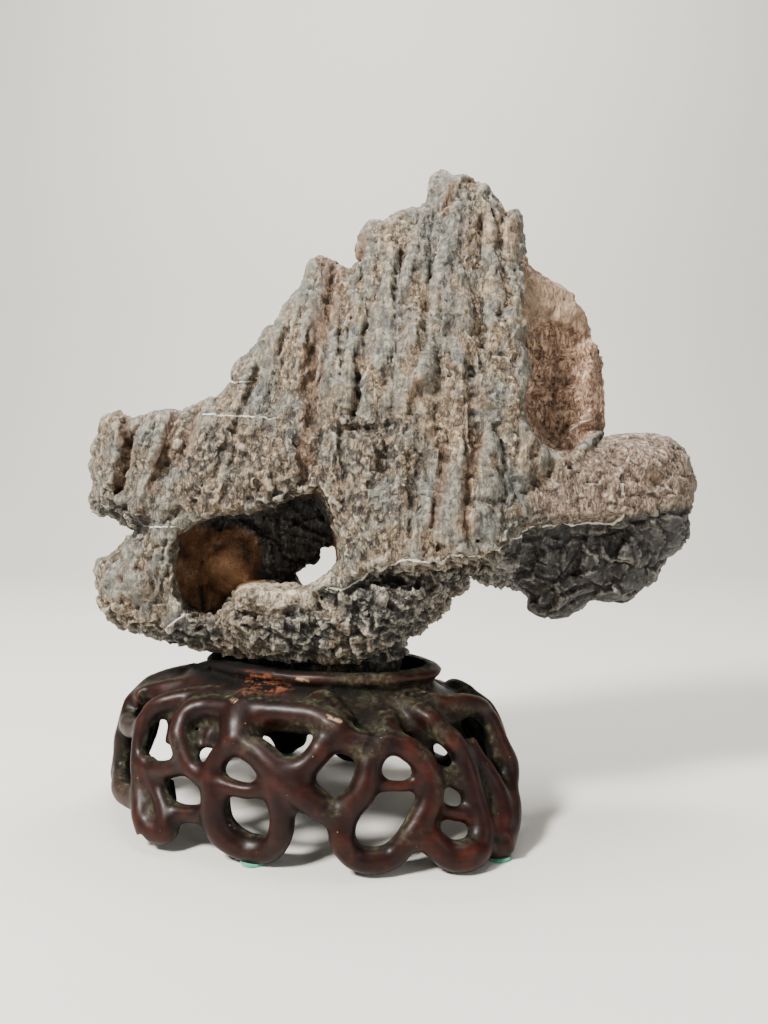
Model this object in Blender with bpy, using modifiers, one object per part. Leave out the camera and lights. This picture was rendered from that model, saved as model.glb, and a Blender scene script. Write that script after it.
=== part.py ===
"""A scholar's rock in its carved stand.

The rock is one natural stone, broad across X and thin front to back (Y). The stand is carved from one block:
an oval cup with a lip, on a ring of looping roots, and round felt pads are glued under four of its feet.
Tables are in millimetres, the model is in metres, +Z is up and the origin is on the floor, at the middle of
the whole object's plan.
"""

import math

import bmesh
import bpy
import numpy as np
from mathutils import Matrix

MM = 0.001

# ---- driving dimensions, mm -------------------------------------------------------------------------------
SHIFT = (-4.5, 1.7)  # plan offset of the tables' axes from the object's middle
GAP = 0.3  # left between pieces that touch

PAD_RADIUS = 5.0
PAD_HEIGHT = 1.2
FOOT_LEVEL = PAD_HEIGHT + GAP  # all the feet are planed off here
FOOT_RADIUS = 5.2  # of the stubs over the pads

STAND_CENTRE = (-35.0, -3.0)
STAND_TURN = -17.0  # degrees about Z, the right end comes forward
CUP_OFFSET = 7.0  # the cup sits off the stand's middle, along its length
CUP_HALF_LENGTH = 55.0
CUP_HALF_WIDTH = 30.0
SEAT_HALF_LENGTH = 44.0
SEAT_HALF_WIDTH = 20.0
SEAT_LEVEL = 56.0

PLUG_OFFSET = 4.0  # the tongue of stone that is let into the seat, along the stand's length
PLUG_HALF_LENGTH = 38.0
PLUG_HALF_WIDTH = 16.0
UNDERSIDE_LEVEL = 68.8  # the stone's lowest reach outside the seat

ROCK_GRAIN = 2.0  # cell of the rock's mesh before it is thinned
STAND_GRAIN = 1.6
WEB = 1.5  # the roots are fattened by this, fused and pared back, which leaves webs of this radius between them
ROCK_TRIANGLES = 5450
STAND_TRIANGLES = 3600

# ---- the stand: half sizes (height, half length, half width) of the oval that the roots lie on ------------
DRUM = [(0, 82, 54), (12, 86, 58), (30, 86, 58), (44, 82, 54), (52, 74, 46), (58, 62, 37), (70, 55, 31)]

# the cup's turned profile: (share of the half length, height), from the lip's inner edge down to the middle
CUP_PROFILE = [
    (0.0, 66.0), (0.70, 66.0), (0.83, 67.2), (0.91, 67.2), (0.975, 66.2), (1.0, 64.6), (0.985, 63.0),
    (0.94, 61.0), (0.925, 59.0), (0.94, 57.0), (0.99, 55.0), (1.06, 52.5), (1.10, 50.0), (1.06, 47.5),
    (0.75, 46.0), (0.0, 46.0),
]

# the shoulder that the roots stand on, between cup and drum: (height, outward offset) round its section, unpared
SHOULDER = [
    (62.0, -5.0), (60.0, -2.6), (56.0, -1.6), (52.0, -1.6), (48.5, -2.2), (46.2, -4.0), (45.4, -8.0),
    (46.4, -12.0), (48.5, -15.0), (48.5, -30.0), (59.5, -30.0), (62.0, -12.0),
]

# each root: (angle round the drum in degrees, height, outward offset, radius); -90 degrees is the front
ROOTS = {
    "far_leg": [(-146, 54.5, -14, 5), (-154, 51.5, -6, 5), (-160, 48, -2, 5), (-162, 40, 0, 4.5),
                (-160, 32, 0, 4.5), (-158, 24, -1, 4.5), (-162, 15, -1, 4.5), (-166, 6, 1, 5.5)],
    "left_leg": [(-112, 55.5, -10, 5), (-124, 54.5, 0, 4.5), (-131, 50.5, 3, 4.5), (-133, 45, 1, 4.5),
                 (-132, 36, 1, 4), (-128, 26, 2, 4), (-123, 16, 5, 4.5), (-118, 6, 8, 5.5)],
    "left_inner": [(-128, 31, 0, 4), (-120, 23, 1, 4), (-114, 15, 3, 4), (-113, 8, 6, 5), (-118, 8, 8, 5)],
    "left_bar": [(-130, 28, 0, 4), (-119, 29, 0, 4), (-110, 33, 0, 4), (-104, 31, 0, 4), (-99, 27, 0, 4)],
    "left_spur": [(-116, 16, 2, 4), (-109, 15, 1, 3.5), (-101, 17, 0, 4)],
    "hook": [(-100, 54, 0, 5), (-110, 54, 1, 5), (-115, 51, 1.5, 5.2), (-115, 46, 0.5, 5),
             (-112, 40, 0, 5), (-108, 33, 0, 4.5)],
    "post": [(-98, 56, -5, 8), (-97, 51, -3, 9), (-95, 46, -2, 8.5), (-93, 42, 0, 6)],
    "round_loop": [(-92, 45, 0, 4.6), (-98, 41, 0, 4.4), (-100.5, 33, 0, 4.4), (-99.5, 25, 0, 5.6),
                   (-99, 16, 0, 6.2), (-96, 9, 0, 6), (-91, 5.5, 0, 5.4), (-86, 5.5, 0, 5.4),
                   (-82, 10, 0, 5), (-80.5, 18, 0, 5), (-81.5, 26, 0, 4.8), (-83, 33, 0, 4.4)],
    "round_cross": [(-99, 30, 0, 3.8), (-93, 28.5, 0, 3.2), (-88, 28.5, 0, 3.2), (-82, 32, 0, 3.8)],
    "diagonal": [(-92, 44, 0, 5), (-88, 42, 0, 5.5), (-84, 38, 0, 6), (-80, 34, 0, 6), (-76, 30, 0, 6),
                 (-72, 26, 0, 5.8), (-68, 23, 0, 5.5), (-64, 23, 1, 5.5)],
    "arch": [(-118, 52.5, 1, 4), (-108, 53.5, 1, 5), (-96, 54, 1, 5.5), (-82, 54.5, 1, 5.5),
             (-72, 53.5, 1.5, 6), (-66, 50.5, 2, 6), (-63, 47.5, 1, 5.5), (-57, 45, 0, 5.5)],
    "arch_brace": [(-72, 56, -9, 6.5), (-67, 54, -3, 6.5), (-63, 50, 0, 5.5)],
    "low_lens": [(-84, 38, 0, 5), (-79, 37, 0, 5), (-75, 38, 0, 5), (-72, 42, 0, 5), (-69, 47, 0, 5.2),
                 (-67, 50, 1, 5.5)],
    "lens_web": [(-75, 37, -1, 3.5), (-74, 32, -1, 3.5), (-73, 27, 0, 4)],
    "wide_loop": [(-48, 46, 1, 4.4), (-53, 45.5, 1, 4.6), (-57, 41, 1, 5), (-58, 36, 1, 5.2),
                  (-60, 30, 1, 5.5), (-63, 25, 1, 5.5), (-65, 19, 2, 5.2), (-65, 13, 4, 5),
                  (-62, 7, 5, 4.8), (-57, 5.5, 6, 4.8), (-52, 7, 5, 4.8), (-48, 13, 4, 5),
                  (-44, 19, 3, 5.2), (-41, 25, 2, 5.2), (-40, 32, 1, 5.4), (-42, 40, 1, 5),
                  (-48, 46, 1, 4.4)],
    "wide_cross": [(-57, 32.5, 0, 2.8), (-52, 31.5, 0, 2.4), (-47, 31, 0, 2.4), (-41, 33, 0, 2.8)],
    "wide_neck": [(-46, 50.5, -10, 5), (-48, 48, -4, 5), (-50, 45, 0, 5)],
    "corner_loop": [(-34, 55.5, -8, 4.5), (-33, 52.5, 1, 4), (-31, 49, 0, 4.5), (-28, 44, 0, 4.5),
                    (-25, 38, 0, 4.5), (-25, 31, 1, 4.5), (-25, 23, 3, 5), (-26, 15, 7, 5),
                    (-29, 7, 12, 5.5), (-34, 6, 13, 6), (-39, 7, 10, 5.5), (-43, 13, 5, 5.5)],
    "corner_cross": [(-41, 24, 1, 3.4), (-36, 20, 2, 3), (-31, 18, 4, 3), (-26, 17, 5, 3.6)],
    "corner_side": [(-42, 36, 0, 4), (-37, 34, -1, 3.6), (-32, 31, 0, 3.4), (-27, 27, 1, 3.6)],
    "end_ring": [(-26, 56.5, -9, 4.5), (-20, 54.5, 1, 4.5), (-8, 53.5, 3, 4.5), (0, 50.5, 3, 4.5),
                 (3, 46, 0, 5), (2, 39, 1, 5), (1, 32, 2, 5.5), (1, 26, 4, 5.5), (-4, 20, 5, 5),
                 (-11, 14, 9, 5), (-19, 7, 13, 5.5), (-23, 6, 15, 6)],
    "end_inner": [(-19, 42, -3, 4.5), (-16, 33, -2, 5), (-14, 24, 2, 5.5), (-16, 15, 7, 6),
                  (-21, 6.5, 12, 6.5)],
    "far_loop": [(22, 49.5, -8, 4.5), (24, 48, -1, 5), (20, 43, 1, 5), (15, 36, 1, 5), (13, 27, 1, 5),
                 (15, 17, 2, 5), (20, 6, 3, 6)],
}

# the back is carved like the front: these roots again, mirrored and turned, as (root, turn in degrees)
BACK_ROOTS = [
    ("far_leg", -8), ("left_leg", -4), ("left_inner", -4), ("left_bar", -4), ("left_spur", -4), ("hook", -3),
    ("post", -2), ("round_loop", -2), ("round_cross", -2), ("diagonal", -2), ("arch", -2), ("arch_brace", -2),
    ("low_lens", -2), ("lens_web", -2), ("wide_loop", 0), ("wide_cross", 0), ("wide_neck", 0),
]
BACK_EXTRA = {
    "far_arch": [(44, 45, 1, 5), (38, 49, 0, 5), (30, 51, -1, 5), (22, 50, 0, 5)],
    "far_low_loop": [(40, 34, 1, 4.5), (33, 30, 1, 4.5), (27, 22, 1, 4.5), (25, 13, 2, 5), (21, 6, 3, 5.5)],
    "far_bar": [(33, 30, 1, 4), (24, 33, 0, 4), (14, 34, 0, 4)],
    "end_loop": [(196, 47, 0, 5), (188, 49, 0, 5), (178, 47, 0, 5), (172, 38, 1, 5), (173, 26, 1, 5),
                 (179, 15, 2, 5.2), (188, 6.5, 3, 5.8), (196, 8, 3, 5.5), (201, 18, 1, 5), (202, 30, 0, 5),
                 (200, 40, 0, 5), (196, 47, 0, 5)],
    "end_cross": [(173, 31, 1, 4.5), (186, 28, 1, 4.5), (201, 27, 1, 4.5)],
    "end_top": [(188, 56, -13, 6), (188, 52, -5, 6), (188, 49, 0, 5.5)],
    "end_brow": [(146, 52, -1, 4.5), (160, 50, -1, 4.5), (174, 47, 0, 4.5)],
    "end_brow_front": [(206, 49, -1, 4.5), (200, 48, 0, 4.5), (194, 48, 0, 4.5)],
    "link_far": [(152, 31, 0, 4.5), (163, 34, 0, 4.5), (173, 35, 0, 4.5)],
    "link_mid": [(128, 40, 0, 4.5), (140, 36, 0, 4.5), (152, 33, 0, 4.5)],
    "link_low": [(121, 14, 5, 4.5), (136, 12, 4, 4.5), (152, 14, 0, 4.5)],
    "link_front": [(-132, 42, 0, 4.5), (-146, 38, 0, 4.5), (-161, 38, 0, 4.5)],
    "link_front_low": [(-123, 16, 4, 4.5), (-140, 13, 3, 4.5), (-161, 15, 0, 4.5)],
}

# the shallow walls behind the hollows at both ends
HOLLOW_BACKS = {
    "left": [(-124, 50, -12, 6.5), (-125, 42, -11, 6.5), (-123, 34, -9, 5.5)],
    "left_low": [(-125, 22, -6, 4), (-119, 13, -3, 4)],
    "middle": [(-106, 51, -10, 4.8), (-106.5, 45, -6.5, 3.8), (-106, 38, -5, 3.2)],
    "end": [(-14, 50, -15, 6), (-10, 42, -15, 5.5), (-7, 34, -13, 5), (-6, 26, -11, 4.5)],
    "corner": [(-37, 47, -13, 4.5), (-33, 40, -12, 4.2), (-34, 31, -10, 4)],
}

# the felt pads, each under a foot: (angle round the drum, outward offset)
PADS = {
    "felt_pad_front": (-89, 0),
    "felt_pad_right": (-21, 13),
    "felt_pad_back": (57, 6),
    "felt_pad_left": (114, 8),
}

# ---- the rock: its outline (x, z), clockwise from the upper left horn, down the left side -------------------
OUTLINE = [
    (-118, 177), (-126, 174), (-126, 167), (-130, 160), (-129, 156), (-131, 153), (-130, 144), (-133, 137),
    (-131, 134), (-127, 131), (-118, 129), (-115, 126), (-111, 122), (-115, 120), (-123, 112), (-129, 110),
    (-130, 106), (-130, 100), (-128, 92), (-125, 86), (-121, 82), (-111, 78), (-100, 75), (-90, 72),
    (-78, 69), (-66, 66), (-55, 63), (-41, 61), (-27, 59), (-8, 60), (6, 69), (9, 73), (11, 77), (18, 79),
    (19, 83), (24, 84), (28, 89), (29, 95), (35, 96), (37, 99), (37, 104), (39, 105), (43, 101), (53, 100),
    (61, 98), (66, 93), (65, 88), (71, 86), (78, 85), (82, 85), (87, 88), (93, 93), (104, 91), (110, 92),
    (116, 97), (123, 102), (126, 110), (133, 116), (137, 122), (137, 131), (139, 138), (140, 145), (138, 153),
    (134, 160), (129, 165), (123, 166), (116, 167), (105, 166), (99, 164), (95, 162), (95, 165), (97, 167),
    (98, 171), (97, 186), (97, 194), (95, 202), (96, 206), (91, 209), (91, 215), (89, 222), (84, 229),
    (75, 234), (68, 238), (63, 241), (63, 246), (62, 252), (61, 258), (60, 264), (59, 266), (54, 265),
    (52, 268), (48, 272), (45, 277), (40, 278), (35, 281), (30, 281), (26, 284), (22, 281), (20, 276),
    (21, 270), (19, 268), (15, 266), (9, 265), (4, 263), (0, 261), (-6, 261), (-10, 256), (-12, 249),
    (-11, 243), (-13, 239), (-20, 241), (-24, 245), (-28, 245), (-33, 241), (-34, 236), (-36, 230),
    (-39, 228), (-43, 222), (-48, 214), (-50, 215), (-54, 211), (-56, 207), (-59, 203), (-65, 199),
    (-68, 192), (-67, 190), (-69, 188), (-72, 184), (-74, 182), (-78, 182), (-86, 178), (-91, 176),
    (-94, 177), (-104, 176), (-108, 174), (-114, 173),
]
WINDOW = [(-41, 105), (-34, 109), (-30, 112), (-29, 117), (-22, 117), (-21, 110), (-24, 103), (-31, 99), (-37, 96)]

# how far the stone reaches to the front and to the back: (x, z, front, back)
DEPTHS = [
    (28, 275, 8, 12), (30, 258, 14, 16), (52, 252, 15, 14), (5, 255, 13, 13), (10, 235, 20, 18),
    (35, 235, 23, 20), (58, 225, 24, 18), (-20, 232, 13, 13), (-25, 215, 20, 18), (0, 210, 27, 22),
    (30, 210, 29, 24), (55, 205, 30, 24), (-55, 190, 15, 14), (-40, 190, 23, 20), (-10, 185, 31, 26),
    (20, 185, 34, 28), (50, 180, 35, 28), (80, 222, 20, 16), (85, 195, 22, 20), (90, 175, 22, 22),
    (-100, 165, 17, 18), (-120, 155, 13, 16), (-85, 160, 21, 20), (-65, 165, 23, 22), (-40, 160, 29, 25),
    (-10, 155, 36, 28), (20, 155, 39, 30), (50, 155, 39, 30), (72, 152, 33, 28), (-125, 140, 13, 14),
    (-100, 140, 22, 20), (-70, 142, 27, 24), (-45, 147, 31, 26), (-15, 130, 39, 28), (10, 130, 44, 30),
    (35, 125, 47, 30), (55, 130, 43, 28), (75, 128, 32, 28), (100, 150, 26, 26), (120, 150, 22, 24),
    (130, 135, 18, 20), (100, 128, 34, 30), (120, 122, 27, 26), (100, 108, 25, 26), (85, 108, 23, 24),
    (125, 108, 16, 18), (-10, 110, 41, 26), (15, 110, 49, 26), (40, 112, 47, 26), (60, 110, 38, 22),
    (0, 92, 42, 22), (20, 90, 40, 20), (-20, 88, 40, 22), (-45, 88, 34, 24), (-62, 88, 27, 24),
    (-82, 86, 20, 24), (-100, 85, 17, 22), (-115, 95, 15, 18), (-122, 108, 15, 16), (-100, 105, 18, 24),
    (-90, 118, 17, 22), (-10, 72, 32, 18), (-40, 74, 31, 20), (-70, 78, 21, 20), (-95, 80, 15, 18),
    (6, 78, 24, 14),
]
SPREAD = 11.0  # reach of one row of DEPTHS
RIM_WIDTH = 15.0  # the faces round over to the rim within this distance of the outline
RIM_SHARE = 0.36  # depth left at the very rim
EYE_Y = 346.0  # the stone narrows evenly to the front, toward a point this far forward of the middle plane
EYE_Z = 144.0  # and at this height

# regions of the front face: (corner points, depth in the middle, rise per mm in x and in z, softness)
REGIONS = {
    "cavern": ([(-93, 121), (-84, 127), (-73, 131), (-61, 131), (-49, 135), (-41, 139), (-30, 142), (-24, 133),
                (-21, 121), (-20, 110), (-25, 103), (-34, 98), (-45, 98), (-56, 97), (-65, 93), (-72, 86),
                (-81, 84), (-91, 88), (-94, 99), (-94, 110)], -10, 0.08, -0.20, 2.0),
    "recess": ([(60, 246), (64, 218), (63, 205), (66, 196), (63, 186), (62, 178), (66, 168), (73, 160),
                (84, 158), (92, 166), (110, 174), (110, 190), (105, 203), (98, 218), (85, 235), (70, 246)],
               8, -0.12, 0.02, 2.2),
    "scoop_high": ([(65, 212), (72, 215), (82, 214), (89, 209), (91, 198), (86, 189), (76, 187), (67, 190)],
                   1, 0.12, 0.10, 3.0),
    "scoop_low": ([(65, 184), (75, 186), (84, 184), (86, 174), (80, 165), (73, 164), (66, 172)],
                  2, 0.12, 0.10, 3.0),
    "under_lobe": ([(62, 128), (74, 128), (90, 129), (109, 131), (124, 128), (145, 122), (150, 100), (120, 80),
                    (70, 75), (55, 92), (56, 104), (60, 112), (58, 120)], 20, -0.12, 0.16, 2.2),
    "under_vein": ([(-20, 99), (0, 107), (20, 106), (34, 111), (48, 111), (56, 104), (56, 90), (28, 72), (12, 60),
                    (5, 70), (-4, 82)], 33, 0.0, 0.28, 2.2),
    "front_ledge": ([(-73, 86), (-63, 95), (-54, 98), (-45, 98), (-36, 97), (-25, 103), (-12, 99), (10, 96),
                     (30, 98), (20, 92), (8, 84), (0, 70), (-10, 64), (-55, 68), (-68, 75)],
                    40, 0.06, 0.10, 3.0),
}

# pits (depth above 0) and bosses (below 0) of the front: (x, z, half width, half height, turn, depth)
PITS = [
    (20, 186, 6, 4, 10, 3.0), (47, 177, 5, 3.5, 0, 3.0), (36, 233, 5, 5, 0, 2.5), (-100, 150, 6, 6, 0, 3.5),
    (29, 215, 4, 7, 20, 2.5), (39, 194, 3, 3, 0, 3.5), (-11, 169, 11, 3.2, 0, 4.5), (24, 115, 3.5, 3.5, 0, 3.0),
    (42, 119, 3.5, 3.5, 0, 3.0), (55, 214, 4, 5, 0, -3.0), (5, 140, 10, 7, 30, -2.5), (-40, 175, 8, 5, 60, -2.5),
    (-60, 148, 8, 5, 20, -3.0), (96, 108, 9, 6, 0, -3.0), (78, 112, 7, 5, 0, -3.0), (112, 100, 6, 5, 0, -2.5),
    (118, 140, 12, 8, -20, -2.5), (-20, 82, 9, 5, 0, -2.5), (12, 84, 7, 5, 0, -2.5), (-45, 80, 9, 5, 0, -2.5),
    (-70, 112, 12, 13, 20, -7.0), (-46, 110, 7, 8, 0, -3.0), (91, 186, 4, 16, 0, -5.0), (78, 162, 8, 5, 0, -3.0),
    (60, 185, 5, 9, 0, -3.0), (57, 200, 4, 8, 10, -2.5), (15, 212, 5, 12, 0, -2.5), (-14, 220, 5, 14, 10, -2.5),
    (-33, 205, 6, 12, 30, -3.0), (48, 240, 5, 9, 0, -2.5), (34, 150, 7, 9, 0, -2.5), (10, 164, 8, 6, 0, -2.5),
    (-5, 190, 6, 10, 0, -2.5), (-78, 160, 7, 9, 10, -3.0), (-106, 158, 6, 9, 0, -3.0), (-122, 150, 5, 8, 0, -3.0),
    (55, 122, 8, 6, 0, -3.0), (98, 150, 10, 7, 20, -2.5), (62, 143, 8, 6, 0, 3.0), (68, 100, 5, 4, 0, 2.0),
    (118, 155, 9, 6, -10, -4.0), (100, 140, 9, 8, 30, -3.0), (132, 142, 6, 9, 0, -3.0), (112, 112, 8, 7, 20, -3.5),
    (92, 118, 7, 6, 0, -3.0), (128, 118, 6, 7, 0, 3.0), (104, 156, 6, 4, 0, 2.5), (76, 94, 6, 5, 0, -3.0),
    (-112, 98, 7, 7, 0, -2.5), (-92, 80, 8, 4, 0, -2.0), (66, 120, 8, 6, 0, -2.0), (42, 165, 6, 9, 10, 2.5),
]

# furrows (depth above 0) and ridges (below 0): (points, half width, depth)
FURROWS = [
    ([(-118, 176), (-113, 166), (-119, 142)], 2.6, 4.5), ([(-93, 176), (-99, 155)], 2.4, 3.5),
    ([(-83, 177), (-90, 168)], 2.2, 3.0), ([(-25, 244), (-25, 202), (-31, 173)], 2.8, 4.0),
    ([(-52, 208), (-66, 168)], 2.4, 3.0), ([(-41, 224), (-52, 178)], 2.2, 2.5),
    ([(-8, 254), (-8, 205), (-14, 176)], 2.2, 3.0), ([(8, 262), (6, 215), (4, 190)], 2.2, 2.5),
    ([(22, 272), (21, 238), (17, 205)], 2.4, 2.5), ([(44, 262), (43, 230), (46, 196)], 2.4, 2.5),
    ([(-38, 165), (-36, 146)], 2.2, 2.5), ([(28, 180), (26, 150)], 2.6, 2.5), ([(50, 170), (56, 142)], 2.6, 3.0),
    ([(3, 172), (1, 146)], 2.2, 2.0), ([(-18, 167), (-16, 128)], 2.2, 2.0),
    ([(74, 152), (60, 138), (40, 136)], 2.6, 2.5), ([(104, 164), (98, 140), (102, 124)], 2.6, 2.5),
    ([(-24, 98), (-17, 102), (0, 110), (20, 109), (36, 114), (50, 114), (66, 126), (88, 127), (109, 130)],
     2.6, -2.2),
    ([(88, 122), (86, 104)], 2.4, 3.0), ([(104, 118), (101, 98)], 2.4, 2.5), ([(48, 112), (44, 102)], 2.4, 2.5),
    ([(5, 100), (-3, 70)], 2.4, 2.5), ([(-28, 95), (-32, 68)], 2.4, 2.5), ([(22, 104), (16, 82)], 2.4, 2.5),
    ([(-58, 92), (-56, 72)], 2.2, 2.5), ([(-108, 124), (-92, 132)], 2.4, 2.5),
]

# the back has its own: pits and bosses, then furrows, in the same form
BACK_PITS = [
    (-30, 190, 12, 9, 20, 5), (40, 170, 14, 10, 0, 6), (0, 120, 16, 11, -20, 6), (-80, 150, 12, 8, 0, 5),
    (60, 220, 9, 12, 0, 4), (100, 130, 14, 11, 10, 6), (-100, 95, 11, 8, 0, 4), (20, 235, 9, 9, 0, 4),
    (10, 150, 12, 16, 0, -5), (75, 150, 12, 14, 0, -5), (-55, 165, 10, 9, 0, -4), (-20, 90, 14, 9, 0, -4),
    (-5, 205, 9, 14, 0, -4), (118, 112, 9, 8, 0, -4), (-112, 165, 8, 8, 0, -3),
]
BACK_FURROWS = [
    ([(-10, 255), (-14, 210), (-22, 160)], 3.0, 4.0), ([(30, 272), (26, 220), (34, 190)], 3.0, 4.0),
    ([(52, 260), (58, 200), (52, 150)], 3.0, 4.0), ([(-60, 198), (-72, 160), (-66, 135)], 3.0, 4.0),
    ([(84, 220), (80, 180), (88, 140)], 3.0, 3.5), ([(-100, 172), (-104, 140)], 2.6, 3.0),
    ([(-40, 135), (10, 140), (60, 120), (120, 140)], 3.0, 4.0), ([(20, 110), (12, 80)], 2.6, 3.5),
    ([(-60, 95), (-62, 75)], 2.6, 3.0), ([(104, 120), (96, 95)], 2.6, 3.0),
]


# ---- fields over the face of the stone (x and z are arrays, all in mm) --------------------------------------
def edge_distance(x, z, points, closed=True):
    """Distance from each (x, z) to the chain of points: the least distance to any of its straight edges."""
    start = np.array(points, float)
    end = np.roll(start, -1, axis=0)
    if not closed:
        start, end = start[:-1], end[:-1]
    along = end - start
    to_x, to_z = x[:, None] - start[:, 0], z[:, None] - start[:, 1]
    share = (to_x * along[:, 0] + to_z * along[:, 1]) / (along**2).sum(axis=1)
    share = np.clip(share, 0.0, 1.0)
    return np.hypot(to_x - share * along[:, 0], to_z - share * along[:, 1]).min(axis=1)


def inside(x, z, points):
    """True where a ray from (x, z) toward +x crosses the closed chain of points an odd number of times."""
    a = np.array(points, float)
    b = np.roll(a, -1, axis=0)
    spans = (a[:, 1] > z[:, None]) != (b[:, 1] > z[:, None])
    rise = np.where(b[:, 1] == a[:, 1], 1.0, b[:, 1] - a[:, 1])
    crossing = a[:, 0] + (z[:, None] - a[:, 1]) * (b[:, 0] - a[:, 0]) / rise
    return (spans & (x[:, None] < crossing)).sum(axis=1) % 2 == 1


def step(value):
    """Smooth step: 0 below 0, 1 above 1, 3v^2 - 2v^3 between."""
    v = np.clip(value, 0.0, 1.0)
    return v * v * (3.0 - 2.0 * v)


def spread_rows(x, z, rows, reach):
    """Mean of the rows' values, each weighted by exp(-r^2 / 2 reach^2) for its distance r."""
    rows = np.array(rows, float)
    r2 = (x[:, None] - rows[:, 0]) ** 2 + (z[:, None] - rows[:, 1]) ** 2
    weight = np.exp(-r2 / (2.0 * reach**2)) + 1e-9 / (1.0 + r2)
    return (weight @ rows[:, 2:]) / weight.sum(axis=1)[:, None]


def pit_depth(x, z, pits):
    """Sum of depth * exp(-q^2), q being the distance from the pit's middle in its own half sizes."""
    total = np.zeros_like(x)
    for middle_x, middle_z, half_x, half_z, turn, depth in pits:
        c, s = math.cos(math.radians(turn)), math.sin(math.radians(turn))
        u = (c * (x - middle_x) + s * (z - middle_z)) / half_x
        v = (c * (z - middle_z) - s * (x - middle_x)) / half_z
        total += depth * np.exp(-((u * u + v * v) ** 1.5))
    return total


def furrow_depth(x, z, furrows):
    """Sum of depth / (1 + (r / half width)^4), r being the distance to the furrow's line."""
    total = np.zeros_like(x)
    for points, half_width, depth in furrows:
        total += depth / (1.0 + (edge_distance(x, z, points, closed=False) / half_width) ** 4)
    return total


def flutes(x, z):
    """Upright ribs 13 mm apart, 1 - |sin| across them. They lean with the left slope: u = x - lean (z - 160)."""
    lean = 0.5 * step((-5.0 - x) / 50.0)
    u = x - lean * (z - 160.0) + 2.5 * np.sin(z / 17.0) + 1.5 * np.sin(z / 7.0 + x / 19.0)
    return (1.0 - np.abs(np.sin(math.pi * u / 13.0))) * (0.7 + 0.3 * np.sin(x / 23.0 + z / 31.0))


def lumps(x, z):
    """Uneven knobs about 10 mm across, from 0 to 1: crossed waves whose lines wander."""
    u = x / 3.4 + 1.4 * np.sin(z / 8.0) + 0.8 * np.sin(x / 13.0 + 2.0)
    v = z / 3.9 + 1.3 * np.sin(x / 9.0 + 1.0) + 0.7 * np.sin(z / 15.0)
    return 0.5 + 0.35 * np.sin(u) * np.sin(v) + 0.15 * np.sin(0.47 * u + 1.1 * v)


def front_and_back(x, z):
    """Reach of the stone to the front and to the back of its middle plane at each (x, z)."""
    front, back = spread_rows(x, z, DEPTHS, SPREAD).T
    for points, depth, rise_x, rise_z, softness in REGIONS.values():
        middle = np.mean(points, axis=0)
        floor = depth + rise_x * (x - middle[0]) + rise_z * (z - middle[1])
        signed = np.where(inside(x, z, points), 1.0, -1.0) * edge_distance(x, z, points)
        share = step(0.5 + signed / (2.0 * softness))
        front = front + (floor - front) * share
    rim = np.clip(edge_distance(x, z, OUTLINE) / RIM_WIDTH, 0.0, 1.0)
    rim = RIM_SHARE + (1.0 - RIM_SHARE) * np.sqrt(1.0 - (1.0 - rim) ** 2)
    front = front * np.where(front > 0, rim, 1.0) - pit_depth(x, z, PITS) * rim - furrow_depth(x, z, FURROWS) * rim
    front = front + 3.2 * (flutes(x, z) - 0.4) * step((z - 112.0) / 20.0) * step((95.0 - x) / 15.0) * rim
    front = front + 3.0 * (lumps(x, z) - 0.5) * step((130.0 - z) / 30.0 + step((x - 70.0) / 20.0)) * rim
    back = back * rim - pit_depth(x, z, BACK_PITS) * rim - furrow_depth(x, z, BACK_FURROWS) * rim
    back = back + 3.2 * (flutes(x + 4.0, z) - 0.4) * rim + 2.0 * (lumps(z, x) - 0.5) * rim
    return front, back


# ---- objects -----------------------------------------------------------------------------------------------
def collection(name):
    made = bpy.data.collections.new(name)
    bpy.context.scene.collection.children.link(made)
    return made


def put_in(obj, home):
    """Move an object into one collection."""
    for old in list(obj.users_collection):
        old.objects.unlink(obj)
    home.objects.link(obj)
    return obj


def material(name, colour, roughness, metallic=0.0):
    made = bpy.data.materials.new(name)
    made.use_nodes = True
    surface = made.node_tree.nodes["Principled BSDF"]
    surface.inputs["Base Color"].default_value = (*colour, 1.0)
    surface.inputs["Roughness"].default_value = roughness
    surface.inputs["Metallic"].default_value = metallic
    made.diffuse_color = (*colour, 1.0)
    return made


def evaluated_mesh(obj):
    """The object's mesh with its modifiers applied, in its own coordinates."""
    bpy.context.view_layer.update()
    return bpy.data.meshes.new_from_object(obj.evaluated_get(bpy.context.evaluated_depsgraph_get()))


def baked(obj):
    """Replace an object by the mesh that its modifiers, or its curve, give."""
    mesh = evaluated_mesh(obj)
    name, matrix, homes = obj.name, obj.matrix_world.copy(), list(obj.users_collection)
    bpy.data.objects.remove(obj)
    made = bpy.data.objects.new(name, mesh)
    made.matrix_world = matrix
    for home in homes:
        home.objects.link(made)
    return made


def voxel(obj, cell):
    remesh = obj.modifiers.new("Cells", "REMESH")
    remesh.mode = "VOXEL"
    remesh.voxel_size = cell * MM
    remesh.use_smooth_shade = True
    return obj


def thin(obj, triangles):
    """Decimate the object to about this many triangles."""
    mesh = evaluated_mesh(obj)
    mesh.calc_loop_triangles()
    share = triangles / len(mesh.loop_triangles)
    bpy.data.meshes.remove(mesh)
    decimate = obj.modifiers.new("Facets", "DECIMATE")
    decimate.ratio = min(share, 1.0)
    decimate.use_collapse_triangulate = True
    return obj


def smooth(obj, factor, times):
    relax = obj.modifiers.new("Relax", "SMOOTH")
    relax.factor = factor
    relax.iterations = times
    return obj


def cut_by(obj, cutter):
    cut = obj.modifiers.new(cutter.name, "BOOLEAN")
    cut.operation = "DIFFERENCE"
    cut.solver = "EXACT"
    cut.object = cutter
    return obj


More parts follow.
